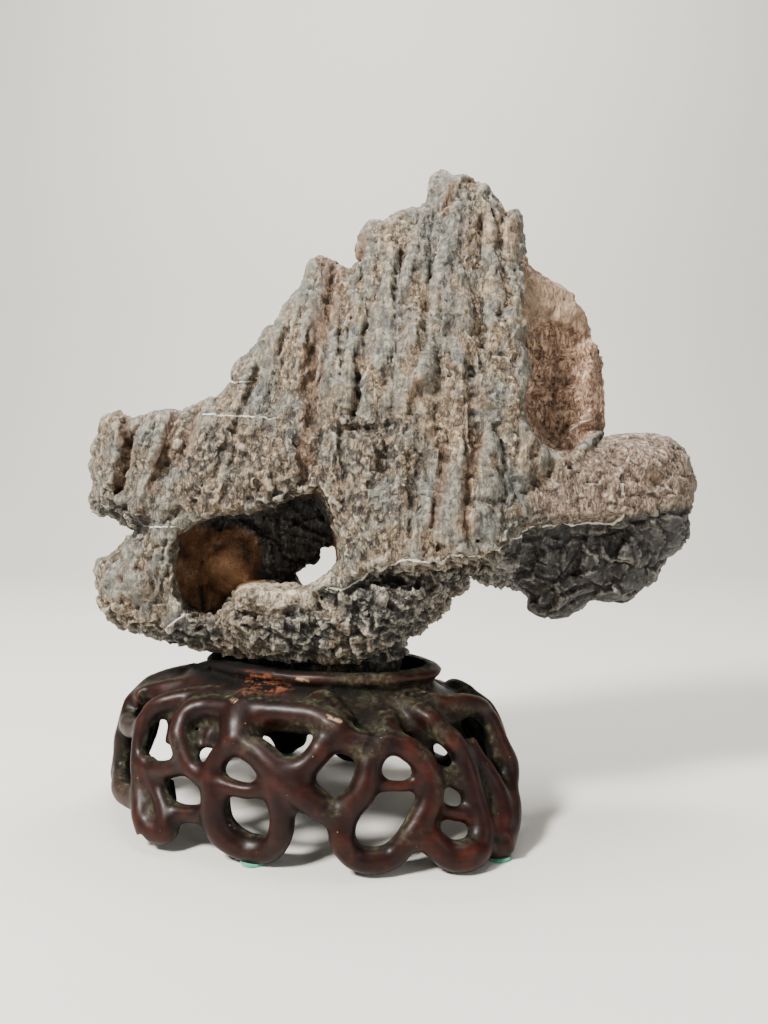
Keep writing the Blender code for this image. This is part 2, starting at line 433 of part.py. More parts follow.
def box_cutter(name, low, high):
    """A box between two corners, in mm, kept as a cutter."""
    size = [top - base for base, top in zip(low, high)]
    bpy.ops.mesh.primitive_cube_add(size=1.0, location=[(a + b) / 2 * MM for a, b in zip(low, high)])
    made = bpy.context.active_object
    made.name = name
    made.data.transform(Matrix.Diagonal([v * MM for v in size]).to_4x4())
    made.hide_render = True
    made.display_type = "WIRE"
    return put_in(made, CUTTERS)


def smooth_path(rows, parts=5):
    """Catmull-Rom curve through the rows, with this many steps from each row to the next."""
    rows = np.array(rows, float)
    rows = np.vstack([2 * rows[0] - rows[1], rows, 2 * rows[-1] - rows[-2]])
    a, b, c, d = (rows[i : len(rows) - 3 + i, None] for i in range(4))
    t = np.linspace(0.0, 1.0, parts, endpoint=False)[None, :, None]
    path = 0.5 * (2 * b + (c - a) * t + (2 * a - 5 * b + 4 * c - d) * t**2 + (3 * b - a - 3 * c + d) * t**3)
    return np.vstack([path.reshape(-1, rows.shape[1]), rows[-2]])


def on_drum(angle, height, offset):
    """Point of the stand, in its own axes, at an angle round the oval of that height, pushed outward."""
    heights, half_lengths, half_widths = zip(*DRUM)
    a = np.interp(height, heights, half_lengths) + offset
    b = np.interp(height, heights, half_widths) + offset
    turn = np.radians(angle)
    return np.stack([a * np.cos(turn), b * np.sin(turn), height + 0.0 * a], axis=-1)


def stand_matrix():
    x, y = STAND_CENTRE[0] + SHIFT[0], STAND_CENTRE[1] + SHIFT[1]
    return Matrix.Translation((x * MM, y * MM, 0.0)) @ Matrix.Rotation(math.radians(STAND_TURN), 4, "Z")


def root_tubes():
    """All the roots as round tubes in one curve object."""
    curve = bpy.data.curves.new("roots", "CURVE")
    curve.dimensions = "3D"
    curve.bevel_depth = MM
    curve.bevel_resolution = 2
    curve.use_fill_caps = True
    tables = list(ROOTS.values()) + list(BACK_EXTRA.values()) + list(HOLLOW_BACKS.values())
    for name, turn in BACK_ROOTS:
        tables.append([(turn - angle, height, offset, radius) for angle, height, offset, radius in ROOTS[name]])
    for angle, offset in PADS.values():
        tables.append([(angle, height, offset, FOOT_RADIUS) for height in (9.0, 3.0, -3.0)])
    for rows in tables:
        rows = np.array(rows, float)
        rows[:, 0] = np.degrees(np.unwrap(np.radians(rows[:, 0])))
        path = smooth_path(rows)
        points = on_drum(path[:, 0], path[:, 1], path[:, 2]) * MM
        spline = curve.splines.new("POLY")
        spline.points.add(len(path) - 1)
        for point, place, row in zip(spline.points, points, path):
            point.co = (*place, 1.0)
            point.radius = row[3] + WEB
    made = bpy.data.objects.new("roots", curve)
    PIECES.objects.link(made)
    made = baked(made)
    shell = bmesh.new()
    shell.from_mesh(made.data)
    bmesh.ops.remove_doubles(shell, verts=shell.verts, dist=1e-6)
    shell.to_mesh(made.data)
    shell.free()
    return made


def turned_cup():
    """The cup: its profile turned about Z, then widened to the oval."""
    mesh = bpy.data.meshes.new("cup")
    points = [(share, 0.0, height * MM) for share, height in CUP_PROFILE]
    mesh.from_pydata(points, [(i, i + 1) for i in range(len(points) - 1)], [])
    made = bpy.data.objects.new("cup", mesh)
    PIECES.objects.link(made)
    screw = made.modifiers.new("Turn", "SCREW")
    screw.axis = "Z"
    screw.steps = screw.render_steps = 72
    screw.use_merge_vertices = True
    screw.merge_threshold = 0.00001
    made = baked(made)
    made.data.transform(Matrix.Diagonal((CUP_HALF_LENGTH * MM, CUP_HALF_WIDTH * MM, 1.0)).to_4x4())
    made.data.transform(Matrix.Translation((CUP_OFFSET * MM, 0.0, 0.0)))
    return made


def shoulder():
    """The shoulder: its section carried round the drum."""
    turn = np.arange(96) * 3.75
    rings = [on_drum(turn, np.full(96, height), offset) for height, offset in SHOULDER]
    n, m = len(turn), len(rings)
    faces = [
        (i * n + j, i * n + (j + 1) % n, (i + 1) % m * n + (j + 1) % n, (i + 1) % m * n + j)
        for i in range(m) for j in range(n)
    ]
    mesh = bpy.data.meshes.new("shoulder")
    mesh.from_pydata((np.concatenate(rings) * MM).tolist(), [], faces)
    made = bpy.data.objects.new("shoulder", mesh)
    PIECES.objects.link(made)
    return made


def joined(name, *objects):
    """One object that holds the meshes of several, as they lie."""
    whole = bmesh.new()
    for obj in objects:
        whole.from_mesh(obj.data)
        bpy.data.objects.remove(obj)
    mesh = bpy.data.meshes.new(name)
    whole.to_mesh(mesh)
    whole.free()
    made = bpy.data.objects.new(name, mesh)
    PIECES.objects.link(made)
    return made


def oval_cutter(name, offset, half_length, half_width, low, high, draft):
    """An upright oval cylinder on the stand's axes, wider at its top by the draft, kept as a cutter."""
    bpy.ops.mesh.primitive_cone_add(
        vertices=64, radius1=1.0, radius2=1.0 + draft / half_width, depth=(high - low) * MM, location=(0, 0, 0)
    )
    made = bpy.context.active_object
    made.name = name
    made.data.transform(Matrix.Diagonal((half_length * MM, half_width * MM, 1.0)).to_4x4())
    made.data.transform(Matrix.Translation((offset * MM, 0.0, (low + high) / 2 * MM)))
    made.matrix_world = stand_matrix()
    made.hide_render = True
    made.display_type = "WIRE"
    return put_in(made, CUTTERS)


def build_stand():
    roots = baked(smooth(voxel(joined("roots", root_tubes(), shoulder()), STAND_GRAIN), 0.5, 3))
    pare = roots.modifiers.new("Pare", "DISPLACE")
    pare.strength = -WEB * MM
    pare.mid_level = 0.0
    stand = joined("stand", baked(roots), turned_cup())
    stand.matrix_world = stand_matrix()
    smooth(voxel(stand, STAND_GRAIN), 0.5, 3)
    thin(stand, STAND_TRIANGLES)
    seat = oval_cutter("seat_cutter", CUP_OFFSET, SEAT_HALF_LENGTH, SEAT_HALF_WIDTH, SEAT_LEVEL, 76.0, 3.0)
    floor = box_cutter("feet_cutter", (-200, -150, -20), (200, 150, FOOT_LEVEL))
    stand = baked(stand)
    cut_by(cut_by(stand, seat), floor)
    stand.data.materials.clear()
    stand.data.materials.append(material("dark_rosewood", (0.055, 0.016, 0.010), 0.28))
    return stand


def build_pads():
    felt = material("green_felt", (0.02, 0.33, 0.19), 0.95)
    for name, (angle, offset) in PADS.items():
        place = on_drum(angle, 6.0, offset) * MM
        bpy.ops.mesh.primitive_cylinder_add(vertices=16, radius=PAD_RADIUS * MM, depth=PAD_HEIGHT * MM)
        pad = bpy.context.active_object
        pad.name = pad.data.name = name
        pad.matrix_world = stand_matrix() @ Matrix.Translation((place[0], place[1], PAD_HEIGHT / 2 * MM))
        pad.data.materials.append(felt)
        put_in(pad, PIECES)


def stone_slab():
    """The outline, less the window through it, as a slab 20 mm thick standing on the middle plane."""
    curve = bpy.data.curves.new("rock_slab", "CURVE")
    curve.dimensions = "2D"
    curve.fill_mode = "BOTH"
    curve.extrude = 10.0 * MM
    for points in (OUTLINE, WINDOW):
        spline = curve.splines.new("POLY")
        spline.points.add(len(points) - 1)
        for point, (x, z) in zip(spline.points, points):
            point.co = (x * MM, z * MM, 0.0, 1.0)
        spline.use_cyclic_u = True
    made = bpy.data.objects.new("rock_slab", curve)
    PIECES.objects.link(made)
    made = baked(made)
    shell = bmesh.new()
    shell.from_mesh(made.data)
    bmesh.ops.remove_doubles(shell, verts=shell.verts, dist=1e-6)
    shell.to_mesh(made.data)
    shell.free()
    made.data.transform(Matrix.Rotation(math.radians(90.0), 4, "X"))
    return baked(voxel(made, ROCK_GRAIN))


def swell(mesh):
    """Carry the slab's faces out to the depths, taper it to the front, and keep its underside off the lip."""
    place = np.empty(len(mesh.vertices) * 3)
    mesh.vertices.foreach_get("co", place)
    x, y, z = place.reshape(-1, 3).T / MM
    front, back = front_and_back(x, z)
    y = np.where(y < 0, y / 10.0 * front, y / 10.0 * back)
    narrow = 1.0 + y / EYE_Y
    x, z = x * narrow, EYE_Z + (z - EYE_Z) * narrow
    z = np.maximum(z, UNDERSIDE_LEVEL + 0.15 * (z - UNDERSIDE_LEVEL))
    z = np.maximum(z, UNDERSIDE_LEVEL)
    mesh.vertices.foreach_set("co", (np.stack([x, y, z], axis=-1) * MM).ravel())
    mesh.update()


def build_rock():
    rock = stone_slab()
    swell(rock.data)
    plug = oval_cutter("plug", PLUG_OFFSET, PLUG_HALF_LENGTH, PLUG_HALF_WIDTH, SEAT_LEVEL - 2.0, 80.0, 2.0)
    plug.data.transform(Matrix.Translation((-SHIFT[0] * MM, -SHIFT[1] * MM, 0.0)) @ stand_matrix())
    plug.matrix_world = Matrix.Identity(4)
    rock = joined("rock", rock, plug)
    rock.location = (SHIFT[0] * MM, SHIFT[1] * MM, 0.0)
    smooth(voxel(rock, ROCK_GRAIN), 0.5, 1)
    thin(rock, ROCK_TRIANGLES)
    bed = box_cutter("bed_cutter", (-200, -150, 30), (200, 150, SEAT_LEVEL + GAP))
    rock = baked(rock)
    cut_by(rock, bed)
    rock.data.materials.clear()
    rock.data.materials.append(material("grey_limestone", (0.20, 0.19, 0.18), 0.85))
    return rock


for old in list(bpy.data.objects):
    bpy.data.objects.remove(old)
PIECES = collection("scholars_rock")
CUTTERS = collection("cutters")
build_rock()
build_stand()
build_pads()
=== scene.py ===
"""A scholar's rock in its carved stand: the visible surfaces and finishes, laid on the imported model.

The rock is built over its node as one weathered stone, the stand as one polished carving, the pads as felt.
Tables are in millimetres, finished meshes are in metres, +Z is up and the origin is on the floor.
"""

import math

import bmesh
import bpy
import numpy as np
from mathutils import Matrix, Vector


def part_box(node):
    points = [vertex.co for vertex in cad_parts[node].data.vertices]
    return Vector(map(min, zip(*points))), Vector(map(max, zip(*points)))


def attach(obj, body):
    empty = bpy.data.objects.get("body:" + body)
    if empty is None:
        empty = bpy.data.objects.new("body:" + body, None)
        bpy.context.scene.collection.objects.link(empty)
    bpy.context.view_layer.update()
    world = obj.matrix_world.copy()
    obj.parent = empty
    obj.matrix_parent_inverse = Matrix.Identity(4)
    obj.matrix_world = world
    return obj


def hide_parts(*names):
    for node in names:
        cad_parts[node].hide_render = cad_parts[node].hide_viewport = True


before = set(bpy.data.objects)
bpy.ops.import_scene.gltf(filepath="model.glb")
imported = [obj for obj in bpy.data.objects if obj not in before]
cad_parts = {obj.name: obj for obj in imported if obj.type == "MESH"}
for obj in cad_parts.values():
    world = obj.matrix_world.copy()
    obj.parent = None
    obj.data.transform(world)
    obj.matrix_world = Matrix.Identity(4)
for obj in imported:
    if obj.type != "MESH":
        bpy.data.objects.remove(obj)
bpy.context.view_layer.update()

MM = 0.001
SHIFT = (-4.5, 1.7)  # plan offset of the tables' axes from the object's middle
GAP = 0.3
PAD_RADIUS = 5.0
PAD_HEIGHT = 1.2
FOOT_LEVEL = PAD_HEIGHT + GAP
FOOT_RADIUS = 5.2
WEB = 1.5  # the roots are fattened by this, fused and pared back
STAND_CENTRE = (-35.0, -3.0)
STAND_TURN = -17.0
CUP_OFFSET = 7.0
CUP_HALF_LENGTH = 55.0
CUP_HALF_WIDTH = 30.0
SEAT_HALF_LENGTH = 44.0
SEAT_HALF_WIDTH = 20.0
SEAT_LEVEL = 56.0
PLUG_OFFSET = 4.0
PLUG_HALF_LENGTH = 38.0
PLUG_HALF_WIDTH = 16.0
PLUG_SINK = 2.0  # the tongue starts this far under the seat's floor, and is then cut off above it
PLUG_TOP = 80.0
PLUG_DRAFT = 2.0
SEAT_TOP = 76.0
SEAT_DRAFT = 3.0
UNDERSIDE_LEVEL = 68.8
SLAB_HALF = 10.0  # half thickness of the slab that the stone starts as
SLAB_CELL = 1.1
ROCK_CELL = 0.8  # cells of the fine meshes before thinning
STAND_CELL = 0.85
MOST_TRIANGLES = 196000
NEAR, WIDE = 6, 60  # rounds of relaxing that tell creases and hollows of the stone
STAND_NEAR, STAND_WIDE = 8, 80
SENSOR = 36.0
LENS = 27.04
PITCH = 2.01  # the camera looks down by this many degrees

# ---- the stand: half sizes (height, half length, half width) of the oval that the roots lie on ---
DRUM = [(0, 82, 54), (12, 86, 58), (30, 86, 58), (44, 82, 54), (52, 74, 46), (58, 62, 37), (70, 55, 31)]

# the cup's turned profile: (share of the half length, height), from the lip's inner edge down to the middle
CUP_PROFILE = [
    (0.0, 66.0), (0.70, 66.0), (0.83, 67.2), (0.91, 67.2), (0.975, 66.2), (1.0, 64.6), (0.985, 63.0),
    (0.94, 61.0), (0.925, 59.0), (0.94, 57.0), (0.99, 55.0), (1.06, 52.5), (1.10, 50.0), (1.06, 47.5),
    (0.75, 46.0), (0.0, 46.0),
]

# the shoulder that the roots stand on, between cup and drum: (height, outward offset) round its section
SHOULDER = [
    (62.0, -5.0), (60.0, -2.6), (56.0, -1.6), (52.0, -1.6), (48.5, -2.2), (46.2, -4.0), (45.4, -8.0),
    (46.4, -12.0), (48.5, -15.0), (48.5, -30.0), (59.5, -30.0), (62.0, -12.0),
]

# each root: (angle round the drum in degrees, height, outward offset, radius); -90 degrees is the front
ROOTS = {
    "far_leg": [(-146, 54.5, -14, 5), (-154, 51.5, -6, 5), (-160, 48, -2, 5), (-162, 40, 0, 4.5),
                (-160, 32, 0, 4.5), (-158, 24, -1, 4.5), (-162, 15, -1, 4.5), (-166, 6, 1, 5.5)],
    "left_leg": [(-112, 55.5, -10, 5), (-124, 54.5, 0, 4.5), (-131, 50.5, 3, 4.5), (-133, 45, 1, 4.5),
                 (-132, 36, 1, 4), (-128, 26, 2, 4), (-123, 16, 5, 4.5), (-118, 6, 8, 5.5)],
    "left_inner": [(-128, 31, 0, 4), (-120, 23, 1, 4), (-114, 15, 3, 4), (-113, 8, 6, 5), (-118, 8, 8, 5)],
    "left_bar": [(-130, 28, 0, 4), (-119, 29, 0, 4), (-110, 33, 0, 4), (-104, 31, 0, 4), (-99, 27, 0, 4)],
    "left_spur": [(-116, 16, 2, 4), (-109, 15, 1, 3.5), (-101, 17, 0, 4)],
    "hook": [(-100, 54, 0, 5), (-110, 54, 1, 5), (-115, 51, 1.5, 5.2), (-115, 46, 0.5, 5),
             (-112, 40, 0, 5), (-108, 33, 0, 4.5)],
    "post": [(-98, 56, -5, 8), (-97, 51, -3, 9), (-95, 46, -2, 8.5), (-93, 42, 0, 6)],
    "round_loop": [(-92, 45, 0, 4.6), (-98, 41, 0, 4.4), (-100.5, 33, 0, 4.4), (-99.5, 25, 0, 5.6),
                   (-99, 16, 0, 6.2), (-96, 9, 0, 6), (-91, 5.5, 0, 5.4), (-86, 5.5, 0, 5.4),
                   (-82, 10, 0, 5), (-80.5, 18, 0, 5), (-81.5, 26, 0, 4.8), (-83, 33, 0, 4.4)],
    "round_cross": [(-99, 30, 0, 3.8), (-93, 28.5, 0, 3.2), (-88, 28.5, 0, 3.2), (-82, 32, 0, 3.8)],
    "diagonal": [(-92, 44, 0, 5), (-88, 42, 0, 5.5), (-84, 38, 0, 6), (-80, 34, 0, 6), (-76, 30, 0, 6),
                 (-72, 26, 0, 5.8), (-68, 23, 0, 5.5), (-64, 23, 1, 5.5)],
    "arch": [(-118, 52.5, 1, 4), (-108, 53.5, 1, 5), (-96, 54, 1, 5.5), (-82, 54.5, 1, 5.5),
             (-72, 53.5, 1.5, 6), (-66, 50.5, 2, 6), (-63, 47.5, 1, 5.5), (-57, 45, 0, 5.5)],
    "arch_brace": [(-72, 56, -9, 6.5), (-67, 54, -3, 6.5), (-63, 50, 0, 5.5)],
    "low_lens": [(-84, 38, 0, 5), (-79, 37, 0, 5), (-75, 38, 0, 5), (-72, 42, 0, 5), (-69, 47, 0, 5.2),
                 (-67, 50, 1, 5.5)],
    "lens_web": [(-75, 37, -1, 3.5), (-74, 32, -1, 3.5), (-73, 27, 0, 4)],
    "wide_loop": [(-48, 46, 1, 4.4), (-53, 45.5, 1, 4.6), (-57, 41, 1, 5), (-58, 36, 1, 5.2),
                  (-60, 30, 1, 5.5), (-63, 25, 1, 5.5), (-65, 19, 2, 5.2), (-65, 13, 4, 5),
                  (-62, 7, 5, 4.8), (-57, 5.5, 6, 4.8), (-52, 7, 5, 4.8), (-48, 13, 4, 5),
                  (-44, 19, 3, 5.2), (-41, 25, 2, 5.2), (-40, 32, 1, 5.4), (-42, 40, 1, 5),
                  (-48, 46, 1, 4.4)],
    "wide_cross": [(-57, 32.5, 0, 2.8), (-52, 31.5, 0, 2.4), (-47, 31, 0, 2.4), (-41, 33, 0, 2.8)],
    "wide_neck": [(-46, 50.5, -10, 5), (-48, 48, -4, 5), (-50, 45, 0, 5)],
    "corner_loop": [(-34, 55.5, -8, 4.5), (-33, 52.5, 1, 4), (-31, 49, 0, 4.5), (-28, 44, 0, 4.5),
                    (-25, 38, 0, 4.5), (-25, 31, 1, 4.5), (-25, 23, 3, 5), (-26, 15, 7, 5),
                    (-29, 7, 12, 5.5), (-34, 6, 13, 6), (-39, 7, 10, 5.5), (-43, 13, 5, 5.5)],
    "corner_cross": [(-41, 24, 1, 3.4), (-36, 20, 2, 3), (-31, 18, 4, 3), (-26, 17, 5, 3.6)],
    "corner_side": [(-42, 36, 0, 4), (-37, 34, -1, 3.6), (-32, 31, 0, 3.4), (-27, 27, 1, 3.6)],
    "end_ring": [(-26, 56.5, -9, 4.5), (-20, 54.5, 1, 4.5), (-8, 53.5, 3, 4.5), (0, 50.5, 3, 4.5),
                 (3, 46, 0, 5), (2, 39, 1, 5), (1, 32, 2, 5.5), (1, 26, 4, 5.5), (-4, 20, 5, 5),
                 (-11, 14, 9, 5), (-19, 7, 13, 5.5), (-23, 6, 15, 6)],
    "end_inner": [(-19, 42, -3, 4.5), (-16, 33, -2, 5), (-14, 24, 2, 5.5), (-16, 15, 7, 6),
                  (-21, 6.5, 12, 6.5)],
    "far_loop": [(22, 49.5, -8, 4.5), (24, 48, -1, 5), (20, 43, 1, 5), (15, 36, 1, 5), (13, 27, 1, 5),
                 (15, 17, 2, 5), (20, 6, 3, 6)],
}

# the back is carved like the front: these roots again, mirrored and turned, as (root, turn in degrees)
BACK_ROOTS = [
    ("far_leg", -8), ("left_leg", -4), ("left_inner", -4), ("left_bar", -4), ("left_spur", -4), ("hook", -3),
    ("post", -2), ("round_loop", -2), ("round_cross", -2), ("diagonal", -2), ("arch", -2), ("arch_brace", -2),
    ("low_lens", -2), ("lens_web", -2), ("wide_loop", 0), ("wide_cross", 0), ("wide_neck", 0),
]
BACK_EXTRA = {
    "far_arch": [(44, 45, 1, 5), (38, 49, 0, 5), (30, 51, -1, 5), (22, 50, 0, 5)],
    "far_low_loop": [(40, 34, 1, 4.5), (33, 30, 1, 4.5), (27, 22, 1, 4.5), (25, 13, 2, 5), (21, 6, 3, 5.5)],
    "far_bar": [(33, 30, 1, 4), (24, 33, 0, 4), (14, 34, 0, 4)],
    "end_loop": [(196, 47, 0, 5), (188, 49, 0, 5), (178, 47, 0, 5), (172, 38, 1, 5), (173, 26, 1, 5),
                 (179, 15, 2, 5.2), (188, 6.5, 3, 5.8), (196, 8, 3, 5.5), (201, 18, 1, 5), (202, 30, 0, 5),
                 (200, 40, 0, 5), (196, 47, 0, 5)],
    "end_cross": [(173, 31, 1, 4.5), (186, 28, 1, 4.5), (201, 27, 1, 4.5)],
    "end_top": [(188, 56, -13, 6), (188, 52, -5, 6), (188, 49, 0, 5.5)],
    "end_brow": [(146, 52, -1, 4.5), (160, 50, -1, 4.5), (174, 47, 0, 4.5)],
    "end_brow_front": [(206, 49, -1, 4.5), (200, 48, 0, 4.5), (194, 48, 0, 4.5)],
    "link_far": [(152, 31, 0, 4.5), (163, 34, 0, 4.5), (173, 35, 0, 4.5)],
    "link_mid": [(128, 40, 0, 4.5), (140, 36, 0, 4.5), (152, 33, 0, 4.5)],
    "link_low": [(121, 14, 5, 4.5), (136, 12, 4, 4.5), (152, 14, 0, 4.5)],
    "link_front": [(-132, 42, 0, 4.5), (-146, 38, 0, 4.5), (-161, 38, 0, 4.5)],
    "link_front_low": [(-123, 16, 4, 4.5), (-140, 13, 3, 4.5), (-161, 15, 0, 4.5)],
}

# the shallow walls behind the hollows at both ends
HOLLOW_BACKS = {
    "left": [(-124, 50, -12, 6.5), (-125, 42, -11, 6.5), (-123, 34, -9, 5.5)],
    "left_low": [(-125, 22, -6, 4), (-119, 13, -3, 4)],
    "middle": [(-106, 51, -10, 4.8), (-106.5, 45, -6.5, 3.8), (-106, 38, -5, 3.2)],
    "end": [(-14, 50, -15, 6), (-10, 42, -15, 5.5), (-7, 34, -13, 5), (-6, 26, -11, 4.5)],
    "corner": [(-37, 47, -13, 4.5), (-33, 40, -12, 4.2), (-34, 31, -10, 4)],
}

# the felt pads, each under a foot: (angle round the drum, outward offset)
PADS = {
    "felt_pad_front": (-89, 0),
    "felt_pad_right": (-21, 13),
    "felt_pad_back": (57, 6),
    "felt_pad_left": (114, 8),
}

# ---- the rock: its outline (x, z), clockwise from the upper left horn, down the left side --------
OUTLINE = [
    (-118, 177), (-126, 174), (-126, 167), (-130, 160), (-129, 156), (-131, 153), (-130, 144), (-133, 137),
    (-131, 134), (-127, 131), (-118, 129), (-115, 126), (-111, 122), (-115, 120), (-123, 112), (-129, 110),
    (-130, 106), (-130, 100), (-128, 92), (-125, 86), (-121, 82), (-111, 78), (-100, 75), (-90, 72),
    (-78, 69), (-66, 66), (-55, 63), (-41, 61), (-27, 59), (-8, 60), (6, 69), (9, 73), (11, 77), (18, 79),
    (19, 83), (24, 84), (28, 89), (29, 95), (35, 96), (37, 99), (37, 104), (39, 105), (43, 101), (53, 100),
    (61, 98), (66, 93), (65, 88), (71, 86), (78, 85), (82, 85), (87, 88), (93, 93), (104, 91), (110, 92),
    (116, 97), (123, 102), (126, 110), (133, 116), (137, 122), (137, 131), (139, 138), (140, 145), (138, 153),
    (134, 160), (129, 165), (123, 166), (116, 167), (105, 166), (99, 164), (95, 162), (95, 165), (97, 167),
    (98, 171), (97, 186), (97, 194), (95, 202), (96, 206), (91, 209), (91, 215), (89, 222), (84, 229),
    (75, 234), (68, 238), (63, 241), (63, 246), (62, 252), (61, 258), (60, 264), (59, 266), (54, 265),
    (52, 268), (48, 272), (45, 277), (40, 278), (35, 281), (30, 281), (26, 284), (22, 281), (20, 276),
    (21, 270), (19, 268), (15, 266), (9, 265), (4, 263), (0, 261), (-6, 261), (-10, 256), (-12, 249),
    (-11, 243), (-13, 239), (-20, 241), (-24, 245), (-28, 245), (-33, 241), (-34, 236), (-36, 230),
    (-39, 228), (-43, 222), (-48, 214), (-50, 215), (-54, 211), (-56, 207), (-59, 203), (-65, 199),
    (-68, 192), (-67, 190), (-69, 188), (-72, 184), (-74, 182), (-78, 182), (-86, 178), (-91, 176),
    (-94, 177), (-104, 176), (-108, 174), (-114, 173),
]
WINDOW = [
    (-41, 105), (-34, 109), (-30, 112), (-29, 117), (-22, 117), (-21, 110), (-24, 103), (-31, 99), (-37, 96),
]

# how far the stone reaches to the front and to the back: (x, z, front, back)
DEPTHS = [
    (28, 275, 8, 12), (30, 258, 14, 16), (52, 252, 15, 14), (5, 255, 13, 13), (10, 235, 20, 18),
    (35, 235, 23, 20), (58, 225, 24, 18), (-20, 232, 13, 13), (-25, 215, 20, 18), (0, 210, 27, 22),
    (30, 210, 29, 24), (55, 205, 30, 24), (-55, 190, 15, 14), (-40, 190, 23, 20), (-10, 185, 31, 26),
    (20, 185, 34, 28), (50, 180, 35, 28), (80, 222, 20, 16), (85, 195, 22, 20), (90, 175, 22, 22),
    (-100, 165, 17, 18), (-120, 155, 13, 16), (-85, 160, 21, 20), (-65, 165, 23, 22), (-40, 160, 29, 25),
    (-10, 155, 36, 28), (20, 155, 39, 30), (50, 155, 39, 30), (72, 152, 33, 28), (-125, 140, 13, 14),
    (-100, 140, 22, 20), (-70, 142, 27, 24), (-45, 147, 31, 26), (-15, 130, 39, 28), (10, 130, 44, 30),
    (35, 125, 47, 30), (55, 130, 43, 28), (75, 128, 32, 28), (100, 150, 26, 26), (120, 150, 22, 24),
    (130, 135, 18, 20), (100, 128, 34, 30), (120, 122, 27, 26), (100, 108, 25, 26), (85, 108, 23, 24),
    (125, 108, 16, 18), (-10, 110, 41, 26), (15, 110, 49, 26), (40, 112, 47, 26), (60, 110, 38, 22),
    (0, 92, 42, 22), (20, 90, 40, 20), (-20, 88, 40, 22), (-45, 88, 34, 24), (-62, 88, 27, 24),
    (-82, 86, 20, 24), (-100, 85, 17, 22), (-115, 95, 15, 18), (-122, 108, 15, 16), (-100, 105, 18, 24),
    (-90, 118, 17, 22), (-10, 72, 32, 18), (-40, 74, 31, 20), (-70, 78, 21, 20), (-95, 80, 15, 18),
    (6, 78, 24, 14),
]
SPREAD = 11.0  # reach of one row of DEPTHS
RIM_WIDTH = 15.0  # the faces round over to the rim within this distance of the outline
RIM_SHARE = 0.36  # depth left at the very rim
EYE_Y = 346.0  # the stone narrows evenly to the front, toward a point this far forward of the middle plane
EYE_Z = 144.0  # and at this height
FRONT_RIBS, FRONT_LUMPS = 6.5, 5.0  # height of the uneven upright ribs and of the lumps, front and back
BACK_RIBS, BACK_LUMPS = 6.0, 4.0

# regions of the front face: (corner points, depth in the middle, rise per mm in x and in z, softness)
REGIONS = {
    "cavern": ([(-93, 121), (-84, 127), (-73, 131), (-61, 131), (-49, 135), (-41, 139), (-30, 142),
                (-24, 133), (-21, 121), (-20, 110), (-25, 103), (-34, 98), (-45, 98), (-56, 97), (-65, 93),
                (-72, 86), (-81, 84), (-91, 88), (-94, 99), (-94, 110)], -10, 0.08, -0.20, 2.0),
    "recess": ([(60, 246), (64, 218), (63, 205), (66, 196), (63, 186), (62, 178), (66, 168), (73, 160),
                (84, 158), (92, 166), (110, 174), (110, 190), (105, 203), (98, 218), (85, 235), (70, 246)],
               8, -0.12, 0.02, 2.2),
    "scoop_high": ([(65, 212), (72, 215), (82, 214), (89, 209), (91, 198), (86, 189), (76, 187), (67, 190)],
                   1, 0.12, 0.10, 3.0),
    "scoop_low": ([(65, 184), (75, 186), (84, 184), (86, 174), (80, 165), (73, 164), (66, 172)],
                  2, 0.12, 0.10, 3.0),
    "under_lobe": ([(62, 128), (74, 128), (90, 129), (109, 131), (124, 128), (145, 122), (150, 100),
                    (120, 80), (70, 75), (55, 92), (56, 104), (60, 112), (58, 120)], 20, -0.12, 0.16, 2.2),
    "under_vein": ([(-20, 99), (0, 107), (20, 106), (34, 111), (48, 111), (56, 104), (56, 90), (28, 72),
                    (12, 60), (5, 70), (-4, 82)], 33, 0.0, 0.28, 2.2),
    "front_ledge": ([(-73, 86), (-63, 95), (-54, 98), (-45, 98), (-36, 97), (-25, 103), (-12, 99), (10, 96),
                     (30, 98), (20, 92), (8, 84), (0, 70), (-10, 64), (-55, 68), (-68, 75)],
                    40, 0.06, 0.10, 3.0),
}

